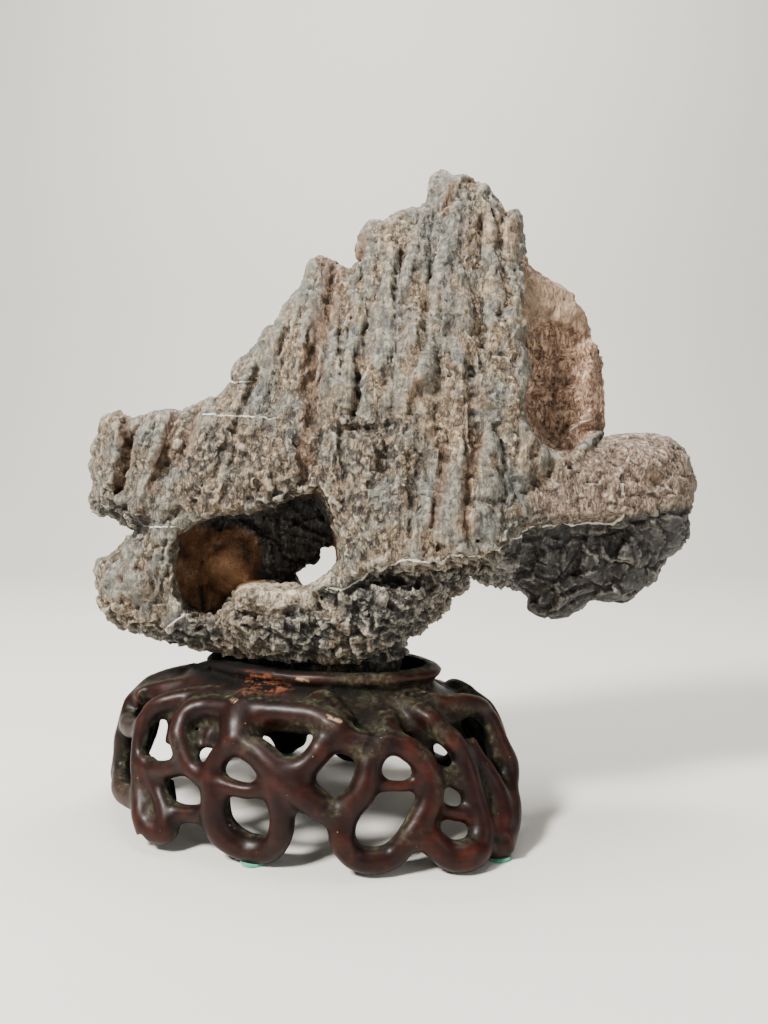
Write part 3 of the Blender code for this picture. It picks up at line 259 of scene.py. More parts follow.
# pits (depth above 0) and bosses (below 0) of the front: (x, z, half width, half height, turn, depth)
PITS = [
    (20, 186, 6, 4, 10, 3.0), (47, 177, 5, 3.5, 0, 3.0), (36, 233, 5, 5, 0, 2.5), (-100, 150, 6, 6, 0, 3.5),
    (29, 215, 4, 7, 20, 2.5), (39, 194, 3, 3, 0, 3.5), (-11, 169, 11, 3.2, 0, 4.5),
    (24, 115, 3.5, 3.5, 0, 3.0), (42, 119, 3.5, 3.5, 0, 3.0), (55, 214, 4, 5, 0, -3.0),
    (5, 140, 10, 7, 30, -2.5), (-40, 175, 8, 5, 60, -2.5), (-60, 148, 8, 5, 20, -3.0),
    (96, 108, 9, 6, 0, -3.0), (78, 112, 7, 5, 0, -3.0), (112, 100, 6, 5, 0, -2.5),
    (118, 140, 12, 8, -20, -2.5), (-20, 82, 9, 5, 0, -2.5), (12, 84, 7, 5, 0, -2.5),
    (-45, 80, 9, 5, 0, -2.5), (-70, 112, 12, 13, 20, -7.0), (-46, 110, 7, 8, 0, -3.0),
    (91, 186, 4, 16, 0, -5.0), (78, 162, 8, 5, 0, -3.0), (60, 185, 5, 9, 0, -3.0),
    (57, 200, 4, 8, 10, -2.5), (15, 212, 5, 12, 0, -2.5), (-14, 220, 5, 14, 10, -2.5),
    (-33, 205, 6, 12, 30, -3.0), (48, 240, 5, 9, 0, -2.5), (34, 150, 7, 9, 0, -2.5),
    (10, 164, 8, 6, 0, -2.5), (-5, 190, 6, 10, 0, -2.5), (-78, 160, 7, 9, 10, -3.0),
    (-106, 158, 6, 9, 0, -3.0), (-122, 150, 5, 8, 0, -3.0), (55, 122, 8, 6, 0, -3.0),
    (98, 150, 10, 7, 20, -2.5), (62, 143, 8, 6, 0, 3.0), (68, 100, 5, 4, 0, 2.0),
    (118, 155, 9, 6, -10, -4.0), (100, 140, 9, 8, 30, -3.0), (132, 142, 6, 9, 0, -3.0),
    (112, 112, 8, 7, 20, -3.5), (92, 118, 7, 6, 0, -3.0), (128, 118, 6, 7, 0, 3.0),
    (104, 156, 6, 4, 0, 2.5), (76, 94, 6, 5, 0, -3.0), (-112, 98, 7, 7, 0, -2.5), (-92, 80, 8, 4, 0, -2.0),
    (66, 120, 8, 6, 0, -2.0), (42, 165, 6, 9, 10, 2.5),
]

# furrows (depth above 0) and ridges (below 0): (points, half width, depth)
FURROWS = [
    ([(-118, 176), (-113, 166), (-119, 142)], 2.6, 4.5), ([(-93, 176), (-99, 155)], 2.4, 3.5),
    ([(-83, 177), (-90, 168)], 2.2, 3.0), ([(-25, 244), (-25, 202), (-31, 173)], 2.8, 4.0),
    ([(-52, 208), (-66, 168)], 2.4, 3.0), ([(-41, 224), (-52, 178)], 2.2, 2.5),
    ([(-8, 254), (-8, 205), (-14, 176)], 2.2, 3.0), ([(8, 262), (6, 215), (4, 190)], 2.2, 2.5),
    ([(22, 272), (21, 238), (17, 205)], 2.4, 2.5), ([(44, 262), (43, 230), (46, 196)], 2.4, 2.5),
    ([(-38, 165), (-36, 146)], 2.2, 2.5), ([(28, 180), (26, 150)], 2.6, 2.5),
    ([(50, 170), (56, 142)], 2.6, 3.0),
    ([(3, 172), (1, 146)], 2.2, 2.0), ([(-18, 167), (-16, 128)], 2.2, 2.0),
    ([(74, 152), (60, 138), (40, 136)], 2.6, 2.5), ([(104, 164), (98, 140), (102, 124)], 2.6, 2.5),
    ([(-24, 98), (-17, 102), (0, 110), (20, 109), (36, 114), (50, 114), (66, 126), (88, 127), (109, 130)],
     2.6, -2.2),
    ([(88, 122), (86, 104)], 2.4, 3.0), ([(104, 118), (101, 98)], 2.4, 2.5),
    ([(48, 112), (44, 102)], 2.4, 2.5),
    ([(5, 100), (-3, 70)], 2.4, 2.5), ([(-28, 95), (-32, 68)], 2.4, 2.5), ([(22, 104), (16, 82)], 2.4, 2.5),
    ([(-58, 92), (-56, 72)], 2.2, 2.5), ([(-108, 124), (-92, 132)], 2.4, 2.5),
]

# the back has its own: pits and bosses, then furrows, in the same form
BACK_PITS = [
    (-30, 190, 12, 9, 20, 5), (40, 170, 14, 10, 0, 6), (0, 120, 16, 11, -20, 6), (-80, 150, 12, 8, 0, 5),
    (60, 220, 9, 12, 0, 4), (100, 130, 14, 11, 10, 6), (-100, 95, 11, 8, 0, 4), (20, 235, 9, 9, 0, 4),
    (10, 150, 12, 16, 0, -5), (75, 150, 12, 14, 0, -5), (-55, 165, 10, 9, 0, -4), (-20, 90, 14, 9, 0, -4),
    (-5, 205, 9, 14, 0, -4), (118, 112, 9, 8, 0, -4), (-112, 165, 8, 8, 0, -3),
]
BACK_FURROWS = [
    ([(-10, 255), (-14, 210), (-22, 160)], 3.0, 4.0), ([(30, 272), (26, 220), (34, 190)], 3.0, 4.0),
    ([(52, 260), (58, 200), (52, 150)], 3.0, 4.0), ([(-60, 198), (-72, 160), (-66, 135)], 3.0, 4.0),
    ([(84, 220), (80, 180), (88, 140)], 3.0, 3.5), ([(-100, 172), (-104, 140)], 2.6, 3.0),
    ([(-40, 135), (10, 140), (60, 120), (120, 140)], 3.0, 4.0), ([(20, 110), (12, 80)], 2.6, 3.5),
    ([(-60, 95), (-62, 75)], 2.6, 3.0), ([(104, 120), (96, 95)], 2.6, 3.0),
]


# ---- the stone's finer forms, on the same face (x, z) --------------------------------------------
# kinds of surface: (corner points, softness)
ZONES = {
    "pebbles": [([(-76, 176), (-55, 182), (-24, 182), (-18, 155), (-24, 135), (-55, 137), (-81, 128),
                  (-101, 130), (-105, 151), (-87, 164)], 8),
                ([(-24, 182), (16, 173), (21, 151), (7, 119), (-11, 104), (-22, 110), (-27, 137)], 9)],
    "flakes": [([(-76, 87), (-67, 95), (-51, 98), (-38, 96), (-24, 97), (-17, 97), (-10, 102), (-4, 106),
                 (3, 107), (8, 110), (21, 109), (31, 113), (43, 112), (52, 115), (61, 110), (61, 92),
                 (30, 74), (16, 50), (-38, 50), (-69, 55)], 2),
               ([(-133, 138), (-114, 134), (-105, 128), (-110, 117), (-135, 128)], 3),
               # this shape lays the slate colour on the lower left underside, partly as painted shade there
               ([(-128, 87), (-118, 84), (-108, 81), (-98, 78), (-92, 79), (-86, 83), (-78, 85), (-70, 82),
                 (-66, 78), (-66, 58), (-100, 60), (-130, 76)], 2)],
    "scallops": [([(52, 115), (66, 125), (76, 126), (89, 126), (103, 127), (108, 130), (144, 135), (148, 110),
                   (115, 70), (70, 70), (48, 97)], 2.5)],
    "lobe": [([(79, 151), (97, 162), (115, 171), (142, 169), (146, 142), (138, 136), (108, 131), (89, 127),
               (70, 127), (66, 142)], 5)],
    "brow": [([(-60, 139), (-45, 144), (-27, 147), (-21, 133), (-23, 117), (-38, 132), (-55, 130)], 4)],
    "facet": [([(57, 242), (70, 236), (84, 228), (92, 217), (91, 213), (76, 215), (71, 218),
                (59, 215)], 0.8)],
    "roof": [([(-96, 118), (-92, 122), (-84, 125), (-76, 124), (-67, 125), (-59, 120), (-55, 114), (-57, 105),
               (-53, 96), (-47, 93), (-36, 99), (-28, 110), (-22, 118), (-18, 140), (-96, 140)], 2)],
    "ledge": [([(-66, 88), (-64, 99), (-56, 105), (-47, 107), (-38, 107), (-31, 101), (-29, 92), (-38, 84),
                (-53, 84)], 2)],
    "rim": [([(-132, 104), (-122, 92), (-110, 84), (-92, 80), (-80, 80), (-76, 86), (-65, 56), (-105, 60),
              (-134, 83)], 3)],
}

# long smooth ribs: (points, half width, rise)
RIBS = [
    ([(-7, 254), (-7, 234), (-9, 219), (-15, 205), (-18, 189), (-22, 181)], 1.7, 1.3),
    ([(4, 251), (1, 237), (0, 227)], 1.5, 1.2),
    ([(18, 264), (13, 250), (10, 239), (7, 229), (5, 207), (5, 189), (1, 181)], 2.2, 1.6),
    ([(22, 272), (19, 256), (16, 244)], 1.8, 1.3),
    ([(32, 266), (31, 254), (26, 244), (23, 234), (22, 219), (22, 208), (19, 198), (10, 186), (7, 176)],
     2.4, 1.8),
    ([(-32, 241), (-36, 229), (-44, 219), (-50, 207), (-55, 198)], 2.4, 1.3),
    ([(-64, 171), (-69, 161), (-73, 147), (-76, 135)], 1.4, 1.3),
    ([(-115, 159), (-118, 146), (-117, 137)], 1.4, 1.0),
    ([(22, 158), (21, 146), (18, 128)], 2.6, 1.0),
    ([(32, 151), (31, 137), (30, 119)], 3.2, 1.2),
    ([(45, 138), (47, 128), (46, 117)], 2.8, 1.2),
    ([(-15, 164), (-14, 153), (-15, 142)], 2.4, 1.0),
]

# grooves: (points, half width, depth, brown stain, painted shade along the groove)
GROOVES = [
    ([(-117, 172), (-115, 157), (-119, 143)], 1.8, 2.0, 1.0, 0.1),
    ([(-94, 174), (-99, 158), (-105, 142)], 1.7, 1.8, 0.9, 0.1),
    ([(-83, 177), (-89, 164), (-91, 154)], 1.6, 1.6, 0.7, 0.1),
    ([(-68, 172), (-74, 153), (-79, 137)], 1.5, 1.4, 0.4, 0.2),
    ([(-25, 244), (-22, 234), (-25, 219), (-32, 204), (-32, 189), (-33, 174), (-36, 153)],
     2.6, 1.8, 1.0, 0.0),
    ([(-9, 254), (-10, 244)], 1.2, 1.5, 0.9, 0.2), ([(30, 276), (28, 266)], 1.3, 1.4, 0.9, 0.1),
    ([(26, 159), (27, 149), (24, 138), (22, 127)], 1.7, 1.8, 0.9, 0.2),
    ([(42, 165), (40, 155), (38, 147), (37, 138), (37, 124)], 1.7, 2.0, 1.0, 0.3),
    ([(34, 178), (39, 183), (44, 188)], 1.6, 2.0, 0.5, 0.8),
    ([(53, 117), (61, 128), (70, 131)], 1.6, 2.0, 0.0, 1.0),
    ([(-20, 173), (-19, 155), (-16, 144)], 1.1, 1.4, 0.1, 0.8),
    ([(11, 171), (4, 149), (0, 137)], 1.1, 1.2, 0.1, 0.6),
    ([(-1, 257), (0, 247)], 1.0, 1.4, 0.5, 0.5), ([(36, 263), (34, 252), (34, 244)], 1.2, 1.8, 0.3, 0.8),
    ([(-26, 193), (-22, 181)], 1.2, 1.6, 0.2, 0.9), ([(-12, 194), (-10, 184)], 1.3, 1.6, 0.0, 1.0),
    ([(28, 214), (25, 204), (25, 198)], 1.2, 1.6, 0.0, 1.0),
    ([(50, 137), (49, 124), (52, 117)], 1.2, 1.6, 0.2, 0.6),
    ([(16, 164), (14, 146), (12, 128), (11, 114)], 1.3, 1.3, 0.2, 0.4),
    ([(-18, 171), (-11, 169), (-2, 170), (4, 172)], 1.2, 1.0, 0.0, 0.6),
    ([(-26, 227), (-28, 214), (-31, 207)], 1.1, 1.4, 0.3, 0.8),
    ([(-43, 214), (-47, 204), (-52, 196)], 1.2, 1.2, 0.2, 0.5),
    ([(9, 232), (9, 214), (11, 200)], 1.2, 1.2, 0.4, 0.3),
    ([(-4, 227), (-5, 209), (-7, 195)], 1.2, 1.2, 0.3, 0.3),
    ([(-82, 89), (-83, 98), (-83, 106), (-80, 111), (-75, 116), (-68, 119), (-60, 119)], 1.3, 2.2, 0.0, 0.9),
    ([(-105, 122), (-106, 105), (-104, 97)], 1.2, 1.4, 0.2, 0.6),
    ([(-106, 142), (-110, 130)], 1.4, 1.4, 0.6, 0.3),
]

# white veins
VEINS = [
    [(-25, 97), (-17, 97), (-10, 102), (-4, 106), (3, 107), (8, 110), (14, 110), (21, 109), (27, 110),
     (31, 113), (36, 112), (40, 113), (43, 112), (47, 113), (52, 115)],
    [(59, 120), (66, 125), (76, 126), (89, 126), (103, 127), (108, 130)],
    [(-33, 140), (-30, 136), (-25, 127)], [(-80, 175), (-65, 175), (-50, 174)], [(-68, 190), (-61, 190)],
    [(84, 169), (90, 173)], [(-45, 125), (-38, 128), (-32, 132)], [(-99, 79), (-90, 85)],
    [(-106, 125), (-95, 125)],
]

# tints: (x, z, half width, half height, turn, strength)
TINTS = {
    "warm": [
        (29, 169, 12, 9, 0, 1.0), (38, 245, 4, 6, 0, 0.8), (47, 232, 4, 6, 0, 0.7), (-9, 198, 3, 7, 0, 0.9),
        (19, 226, 2.5, 9, 5, 1.0), (61, 159, 6, 7, 0, 0.9), (72, 142, 8, 8, 0, 0.8), (75, 226, 11, 9, 0, 0.8),
        (113, 151, 20, 14, 0, 1.0), (97, 137, 13, 7, 0, 0.8), (-76, 143, 7, 10, 0, 0.7),
        (-87, 164, 7, 8, 0, 0.7), (-50, 160, 6, 6, 0, 0.9), (-65, 173, 7, 6, 0, 0.5),
        (5, 254, 7, 7, 0, 0.8), (43, 258, 7, 10, 0, 0.8), (54, 258, 5, 10, 0, 0.9), (55, 250, 4, 8, 0, 0.7),
        (13, 183, 3, 7, 0, 0.9), (-20, 90, 16, 8, 0, 0.5), (-48, 92, 12, 7, 0, 0.7),
        (64, 222, 3, 7, 0, 1.0), (17, 120, 12, 5, 0, 0.5), (45, 208, 6, 10, 0, 0.5),
    ],
    "slate": [
        (-15, 155, 5, 9, 0, 0.8), (-2, 137, 10, 11, 0, 0.8), (21, 137, 7, 13, 0, 0.8),
        (52, 184, 5, 8, 0, 0.9), (57, 142, 7, 9, 0, 0.8), (-65, 190, 7, 5, 0, 0.9),
        (-58, 184, 7, 6, 0, 0.9), (-123, 160, 6, 12, 0, 0.7), (-108, 162, 6, 7, 0, 0.8),
        (-38, 182, 6, 6, 0, 0.7), (30, 217, 4, 5, 0, 0.9), (-10, 189, 3, 5, 0, 0.9),
        (55, 119, 7, 6, 0, 0.8), (35, 233, 6, 5, 0, 0.9), (20, 186, 6, 4, 10, 0.8), (47, 177, 5, 4, 0, 0.9),
        (-68, 148, 5, 10, 0, 0.6), (46, 126, 4, 7, 0, 0.8),
    ],
    # painted shade: spots in pits and grooves and under overhangs, such as the brow over the cavern and the
    # lower left underside
    "soot": [
        (-45, 137, 12, 4, 5, 0.9), (-56, 136, 8, 4, 0, 0.7), (-33, 135, 7, 5, 0, 0.9),
        (41, 176, 2.5, 2, 0, 1.0), (30, 214, 4, 4, 0, 0.9), (-15, 174, 6, 3, 0, 0.5),
        (55, 126, 6, 4, 0, 0.8), (73, 129, 5, 3, 0, 0.7), (-24, 189, 1.5, 5, 0, 0.9),
        (-118, 137, 8, 3, 0, 0.5), (-100, 132, 5, 2, 0, 0.5), (-12, 190, 2, 5, 0, 0.8),
        (96, 168, 1.5, 4, 0, 1.0), (-8, 172, 8, 2, 0, 0.6), (10, 178, 6, 4, 0, 0.4),
        (113, 154, 8, 2, 10, 0.4), (-84, 79, 16, 5, -12, 0.9), (-104, 86, 12, 3, -25, 0.6),
        (52, 133, 8, 3, 20, 0.6), (-40, 87, 5, 3, 0, 0.7), (-64, 84, 5, 3, 0, 0.5),
        (-12, 178, 10, 2, 5, 0.4), (-76, 168, 3, 4, 0, 0.4), (136, 122, 7, 10, 0, 0.6),
    ],
    "cream": [
        (-46, 95, 11, 4.5, -3, 1.0), (-33, 91, 6, 4, -20, 0.8), (-50, 89, 5, 3, 0, 0.6),
        (-24, 87, 6, 3, -20, 0.6), (-30, 101, 6, 2.5, 15, 0.7),
    ],
    "stain": [
        (-101, 151, 4, 5, 0, 0.9), (16, 189, 2.5, 3, 0, 0.9), (14, 182, 5, 3, 0, 0.6),
        (37, 179, 3, 2.5, 0, 0.8), (41, 160, 3, 6, 0, 0.6), (-85, 137, 3, 4, 0, 0.5),
        (62, 216, 2, 8, 0, 0.5), (-113, 165, 4, 5, 0, 0.5), (-29, 214, 6, 14, 0, 0.6),
        (-33, 175, 5, 10, 0, 0.5), (26, 115, 4, 4, 0, 0.6), (51, 262, 2, 6, 0, 0.5),
    ],
}

# places worn smooth, and small ringed holes: (x, z, half width, half height, turn, depth)
WORN = [
    (20, 186, 7, 5, 10, 1.0), (47, 177, 6, 4, 0, 1.0), (36, 233, 5, 5, 0, 1.0), (-101, 150, 4, 5, 0, 0.6),
    (-107, 162, 6, 6, 0, 0.0), (-119, 94, 6, 5, 0, 0.0), (-98, 98, 4, 10, 0, 0.0), (30, 137, 4, 8, 0, 0.0),
    (47, 126, 4, 8, 0, 0.0), (-2, 139, 5, 5, 0, 0.0), (77, 224, 10, 7, 0, 0.0), (23, 148, 4, 6, 0, 0.0),
]
RINGS = [(24, 115.5, 1.1, 2.6), (42, 119.3, 0.9, 2.2)]  # x, z, hole radius, ring radius
BULGE = (-68.5, 104.0, 14.0, 15.0, 0, 1.0)  # the swelling of the cavern's back wall

# the stand's marks on the same face: rubbed to orange, grey-green dust, and pale chips
RUBBED = [(-57.0, 56.0, 7.5, 2.6, -8, 1.0), (-50.0, 52.0, 7.0, 2.8, 5, 0.9), (-61.0, 50.5, 4.0, 1.8, 0, 0.7)]
GREEN = [
    (-8, 52, 14, 8, 0, 1.0), (14, 48, 9, 7, 0, 0.8), (-36, 33, 9, 5, 0, 0.8), (-62, 28, 5, 6, 0, 0.5),
    (-8, 24, 8, 4, 20, 0.7), (22, 28, 5, 8, -30, 0.9), (30, 8, 5, 9, 0, 0.9), (36, 38, 7, 7, 0, 0.6),
    (-24, -4, 5, 4, 0, 0.8), (10, -16, 8, 3, 0, 0.6), (-118, 10, 5, 8, 0, 0.6), (-100, 24, 6, 6, 0, 0.5),
]
CHIPPED = [[(-41.4, 56.7), (-34.6, 55.4)], [(-25.6, 39.0), (-20.0, 36.6)], [(-69.0, 46.8), (-67.4, 46.0)]]

# ---- fields over the face of the stone (x and z are arrays, all in mm) ---------------------------
def edge_distance(x, z, points, closed=True):
    """Distance from each (x, z) to the chain of points: the least distance to any of its straight edges."""
    start = np.array(points, float)
    end = np.roll(start, -1, axis=0)
    if not closed:
        start, end = start[:-1], end[:-1]
    along = end - start
    to_x, to_z = x[:, None] - start[:, 0], z[:, None] - start[:, 1]
    share = (to_x * along[:, 0] + to_z * along[:, 1]) / (along**2).sum(axis=1)
    share = np.clip(share, 0.0, 1.0)
    return np.hypot(to_x - share * along[:, 0], to_z - share * along[:, 1]).min(axis=1)


def inside(x, z, points):
    """True where a ray from (x, z) toward +x crosses the closed chain of points an odd number of times."""
    a = np.array(points, float)
    b = np.roll(a, -1, axis=0)
    spans = (a[:, 1] > z[:, None]) != (b[:, 1] > z[:, None])
    rise = np.where(b[:, 1] == a[:, 1], 1.0, b[:, 1] - a[:, 1])
    crossing = a[:, 0] + (z[:, None] - a[:, 1]) * (b[:, 0] - a[:, 0]) / rise
    return (spans & (x[:, None] < crossing)).sum(axis=1) % 2 == 1


def step(value):
    """Smooth step: 0 below 0, 1 above 1, 3v^2 - 2v^3 between."""
    v = np.clip(value, 0.0, 1.0)
    return v * v * (3.0 - 2.0 * v)


def spread_rows(x, z, rows, reach):
    """Mean of the rows' values, each weighted by exp(-r^2 / 2 reach^2) for its distance r."""
    rows = np.array(rows, float)
    r2 = (x[:, None] - rows[:, 0]) ** 2 + (z[:, None] - rows[:, 1]) ** 2
    weight = np.exp(-r2 / (2.0 * reach**2)) + 1e-9 / (1.0 + r2)
    return (weight @ rows[:, 2:]) / weight.sum(axis=1)[:, None]


def oval_reach(x, z, row):
    """q^2, q being the distance from the middle of a row's turned oval in its own half sizes."""
    middle_x, middle_z, half_x, half_z, turn = row[:5]
    c, s = math.cos(math.radians(turn)), math.sin(math.radians(turn))
    u = (c * (x - middle_x) + s * (z - middle_z)) / half_x
    v = (c * (z - middle_z) - s * (x - middle_x)) / half_z
    return u * u + v * v


def pit_depth(x, z, pits):
    """Sum of depth * exp(-q^3) over the pits."""
    total = np.zeros_like(x)
    for row in pits:
        total += row[5] * np.exp(-(oval_reach(x, z, row) ** 1.5))
    return total


def furrow_depth(x, z, furrows):
    """Sum of depth / (1 + (r / half width)^4), r being the distance to the furrow's line."""
    total = np.zeros_like(x)
    for points, half_width, depth in furrows:
        total += depth / (1.0 + (edge_distance(x, z, points, closed=False) / half_width) ** 4)
    return total


def area_mask(x, z, shapes):
    """1 inside any of the closed shapes and 0 outside, with a smooth step of each shape's softness."""
    mask = np.zeros_like(x)
    for points, softness in shapes:
        signed = np.where(inside(x, z, points), 1.0, -1.0) * edge_distance(x, z, points)
        mask = np.maximum(mask, step(0.5 + signed / (2.0 * softness)))
    return mask


def blob(x, z, rows):
    """Greatest of strength * exp(-q^4 / 2) over the rows."""
    most = np.zeros_like(x)
    for row in rows:
        most = np.maximum(most, row[5] * np.exp(-(oval_reach(x, z, row) ** 2) * 0.5))
    return most


def line_gap(x, z, lines):
    """Signed distance to the nearest of the open lines, positive on its left side."""
    nearest, side = np.full_like(x, 1e9), np.ones_like(x)
    for points in lines:
        p = np.array(points, float)
        for (ax, az), (bx, bz) in zip(p[:-1], p[1:]):
            ux, uz = bx - ax, bz - az
            share = np.clip(((x - ax) * ux + (z - az) * uz) / (ux * ux + uz * uz), 0.0, 1.0)
            gap = np.hypot(x - ax - share * ux, z - az - share * uz)
            closer = gap < nearest
            nearest = np.where(closer, gap, nearest)
            side = np.where(closer, np.sign(ux * (z - az) - uz * (x - ax)), side)
    return nearest * side


def shuffled(i, j, k, salt):
    """An even random number in 0..1 for each whole-numbered cell: its indices multiplied and mixed."""
    h = (i * 73856093) ^ (j * 19349663) ^ (k * 83492791) ^ (salt * 40503)
    h = (h & 0xFFFFFFF) * 9301 + 49297
    h = ((h >> 7) ^ h) & 0xFFFFFFF
    h = (h * 69069 + 1) & 0xFFFFFFF
    return ((h >> 5) & 0xFFFF) / 65535.0


def noise(points, size, octaves=3, salt=0):
    """Soft noise of 0..1 about 0.5: lattice values blended by smooth steps.

    Each octave is half as large and half as high as the one before.
    """
    total, height, reach = 0.0, 1.0, 0.0
    for octave in range(octaves):
        q = points / size * 2.0**octave
        cell = np.floor(q).astype(np.int64)
        f = q - cell
        f = f * f * (3.0 - 2.0 * f)
        value = 0.0
        for corner in range(8):
            d = np.array([corner & 1, corner >> 1 & 1, corner >> 2])
            weight = np.prod(np.where(d == 1, f, 1.0 - f), axis=1)
            value = value + weight * shuffled(*(cell + d).T, salt + octave)
        total, reach, height = total + height * value, reach + height, height / 2.0
    return total / reach


def chips(points, size, salt=0):
    """Flat chips round one point per cell of a jittered lattice, each a plane tilted its own way.

    Gives the plane's height (at most 0.7 either way), the distance to the chip's middle, the gap to the seam
    and a number.
    """
    q = points / size
    home = np.floor(q).astype(np.int64)
    first, second, number = np.full(len(q), 9.0), np.full(len(q), 9.0), np.zeros(len(q))
    away = np.zeros_like(q)
    for i in (-1, 0, 1):
        for j in (-1, 0, 1):
            for k in (-1, 0, 1):
                cell = home + (i, j, k)
                jitter = np.stack([shuffled(*cell.T, salt + s) for s in (11, 12, 13)], axis=1)
                step_away = q - (cell + 0.1 + 0.8 * jitter)
                gap = np.sqrt((step_away**2).sum(axis=1))
                closer = gap < first
                second = np.where(closer, first, np.minimum(second, gap))
                number = np.where(closer, jitter @ (0.5, 0.3, 0.2), number)
                away = np.where(closer[:, None], step_away, away)
                first = np.where(closer, gap, first)
    turn = number * 60.0
    tilt = np.stack([np.sin(turn), np.sin(turn * 1.7 + 1.0), np.cos(turn * 2.3)], axis=1)
    return np.clip((away * tilt).sum(axis=1), -0.7, 0.7), first, second - first, number


def folded(points, size, octaves, salt):
    """Folds of 0..1 with sharp creases at 0: the square root of |2n - 1|, n being noise."""
    return np.sqrt(np.abs(2.0 * noise(points, size, octaves, salt) - 1.0))


def on_face(x, y, z):
    """Where the line from the eye's place through (x, y, z) meets the middle plane: its x and z."""
    narrow = 1.0 + y / EYE_Y
    return x / narrow, EYE_Z + (z - EYE_Z) / narrow


def streaks(x, z):
    """Uneven upright ribs: noise about 7 mm wide and 50 mm long that leans with the left slope."""
    lean = 0.5 * step((-5.0 - x) / 50.0)
    u = x - lean * (z - 160.0) + 2.0 * np.sin(z / 17.0)
    place = np.stack([u, np.zeros_like(x), z / 7.0], axis=1)
    return noise(place, 7.5, 2, 40)


def front_and_back(x, z):
    """Reach of the stone to the front and to the back of its middle plane at each (x, z)."""
    front, back = spread_rows(x, z, DEPTHS, SPREAD).T
    for points, depth, rise_x, rise_z, softness in REGIONS.values():
        middle = np.mean(points, axis=0)
        floor = depth + rise_x * (x - middle[0]) + rise_z * (z - middle[1])
        front = front + (floor - front) * area_mask(x, z, [(points, softness)])
    rim = np.clip(edge_distance(x, z, OUTLINE) / RIM_WIDTH, 0.0, 1.0)
    rim = RIM_SHARE + (1.0 - RIM_SHARE) * np.sqrt(1.0 - (1.0 - rim) ** 2)
    front = front * np.where(front > 0, rim, 1.0)
    front = front - pit_depth(x, z, PITS) * rim - furrow_depth(x, z, FURROWS) * rim
    upright = step((z - 112.0) / 20.0) * step((95.0 - x) / 15.0) * rim
    front = front + FRONT_RIBS * (streaks(x, z) - 0.5) * upright
    plane = np.stack([x, 0 * x, z], axis=1)
    low_or_right = step((130.0 - z) / 30.0 + step((x - 70.0) / 20.0))
    front = front + FRONT_LUMPS * (noise(plane, 11.0, 2, 50) - 0.5) * low_or_right * rim
    back = back * rim - pit_depth(x, z, BACK_PITS) * rim - furrow_depth(x, z, BACK_FURROWS) * rim
    uneven = BACK_RIBS * (streaks(x + 64.0, z) - 0.5) + BACK_LUMPS * (noise(plane, 13.0, 2, 60) - 0.5)
    back = back + uneven * rim
    return front, back


# ---- meshes --------------------------------------------------------------------------------------
def evaluated_mesh(obj):
    """The object's mesh with its modifiers applied, in its own coordinates."""
    bpy.context.view_layer.update()
    return bpy.data.meshes.new_from_object(obj.evaluated_get(bpy.context.evaluated_depsgraph_get()))


def new_piece(name, mesh):
    made = bpy.data.objects.new(name, mesh)
    bpy.context.scene.collection.objects.link(made)
    return made


def baked(obj):
    """Replace an object by the mesh that its modifiers, or its curve, give, with its place in the mesh."""
    mesh = evaluated_mesh(obj)
    name, matrix = obj.name, obj.matrix_world.copy()
    bpy.data.objects.remove(obj)
    mesh.transform(matrix)
    return new_piece(name, mesh)


def voxel(obj, cell):
    remesh = obj.modifiers.new("Cells", "REMESH")
    remesh.mode = "VOXEL"
    remesh.voxel_size = cell * MM
    remesh.use_smooth_shade = True
    return obj


def smooth(obj, factor, times):
    relax = obj.modifiers.new("Relax", "SMOOTH")
    relax.factor = factor
    relax.iterations = times
    return obj


def thinned(obj, triangles):
    """The object with its mesh decimated to about this many triangles."""
    obj.data.calc_loop_triangles()
    decimate = obj.modifiers.new("Facets", "DECIMATE")
    decimate.ratio = min(triangles / len(obj.data.loop_triangles), 1.0)
    return baked(obj)


def cut_by(obj, cutter):
    """The object less the cutter, which is used up."""
    cut = obj.modifiers.new("Cut", "BOOLEAN")
    cut.operation = "DIFFERENCE"
    cut.solver = "EXACT"
    cut.object = cutter
    obj = baked(obj)
    bpy.data.objects.remove(cutter)
    return obj


def joined(name, *objects):
    """One object that holds the meshes of several, as they lie."""
    whole = bmesh.new()
    for obj in objects:
        whole.from_mesh(obj.data)
        bpy.data.objects.remove(obj)
    mesh = bpy.data.meshes.new(name)
    whole.to_mesh(mesh)
    whole.free()
    return new_piece(name, mesh)


def welded(obj):
    """Merge the object's coincident vertices."""
    shell = bmesh.new()
    shell.from_mesh(obj.data)
    bmesh.ops.remove_doubles(shell, verts=shell.verts, dist=1e-6)
    shell.to_mesh(obj.data)
    shell.free()
    return obj


def places(mesh):
    """The vertices, n by 3, in mm."""
    flat = np.empty(len(mesh.vertices) * 3)
    mesh.vertices.foreach_get("co", flat)
    return flat.reshape(-1, 3) / MM


def move_to(mesh, points):
    mesh.vertices.foreach_set("co", (points * MM).ravel())
    mesh.update()


def outward(mesh):
    """The vertices' unit normals, n by 3."""
    flat = np.empty(len(mesh.vertices) * 3)
    mesh.vertex_normals.foreach_get("vector", flat)
    return flat.reshape(-1, 3)


def relaxed(mesh, values, rounds):
    """The values, one row per vertex, after each goes half way to its neighbours' mean, so many times."""
    ends = np.empty(len(mesh.edges) * 2, np.int32)
    mesh.edges.foreach_get("vertices", ends)
    a, b = ends.reshape(-1, 2).T
    n = len(values)
    count = np.bincount(ends, minlength=n)
    for _ in range(rounds):
        sums = [np.bincount(a, v[b], n) + np.bincount(b, v[a], n) for v in values.T]
        values = 0.5 * values + 0.5 * (np.stack(sums) / count).T
    return values


def proudness(mesh, rounds):
    """How far each vertex stands out of its neighbourhood, in mm, along its normal: below 0 in hollows."""
    points = places(mesh)
    return ((points - relaxed(mesh, points, rounds)) * outward(mesh)).sum(axis=1)


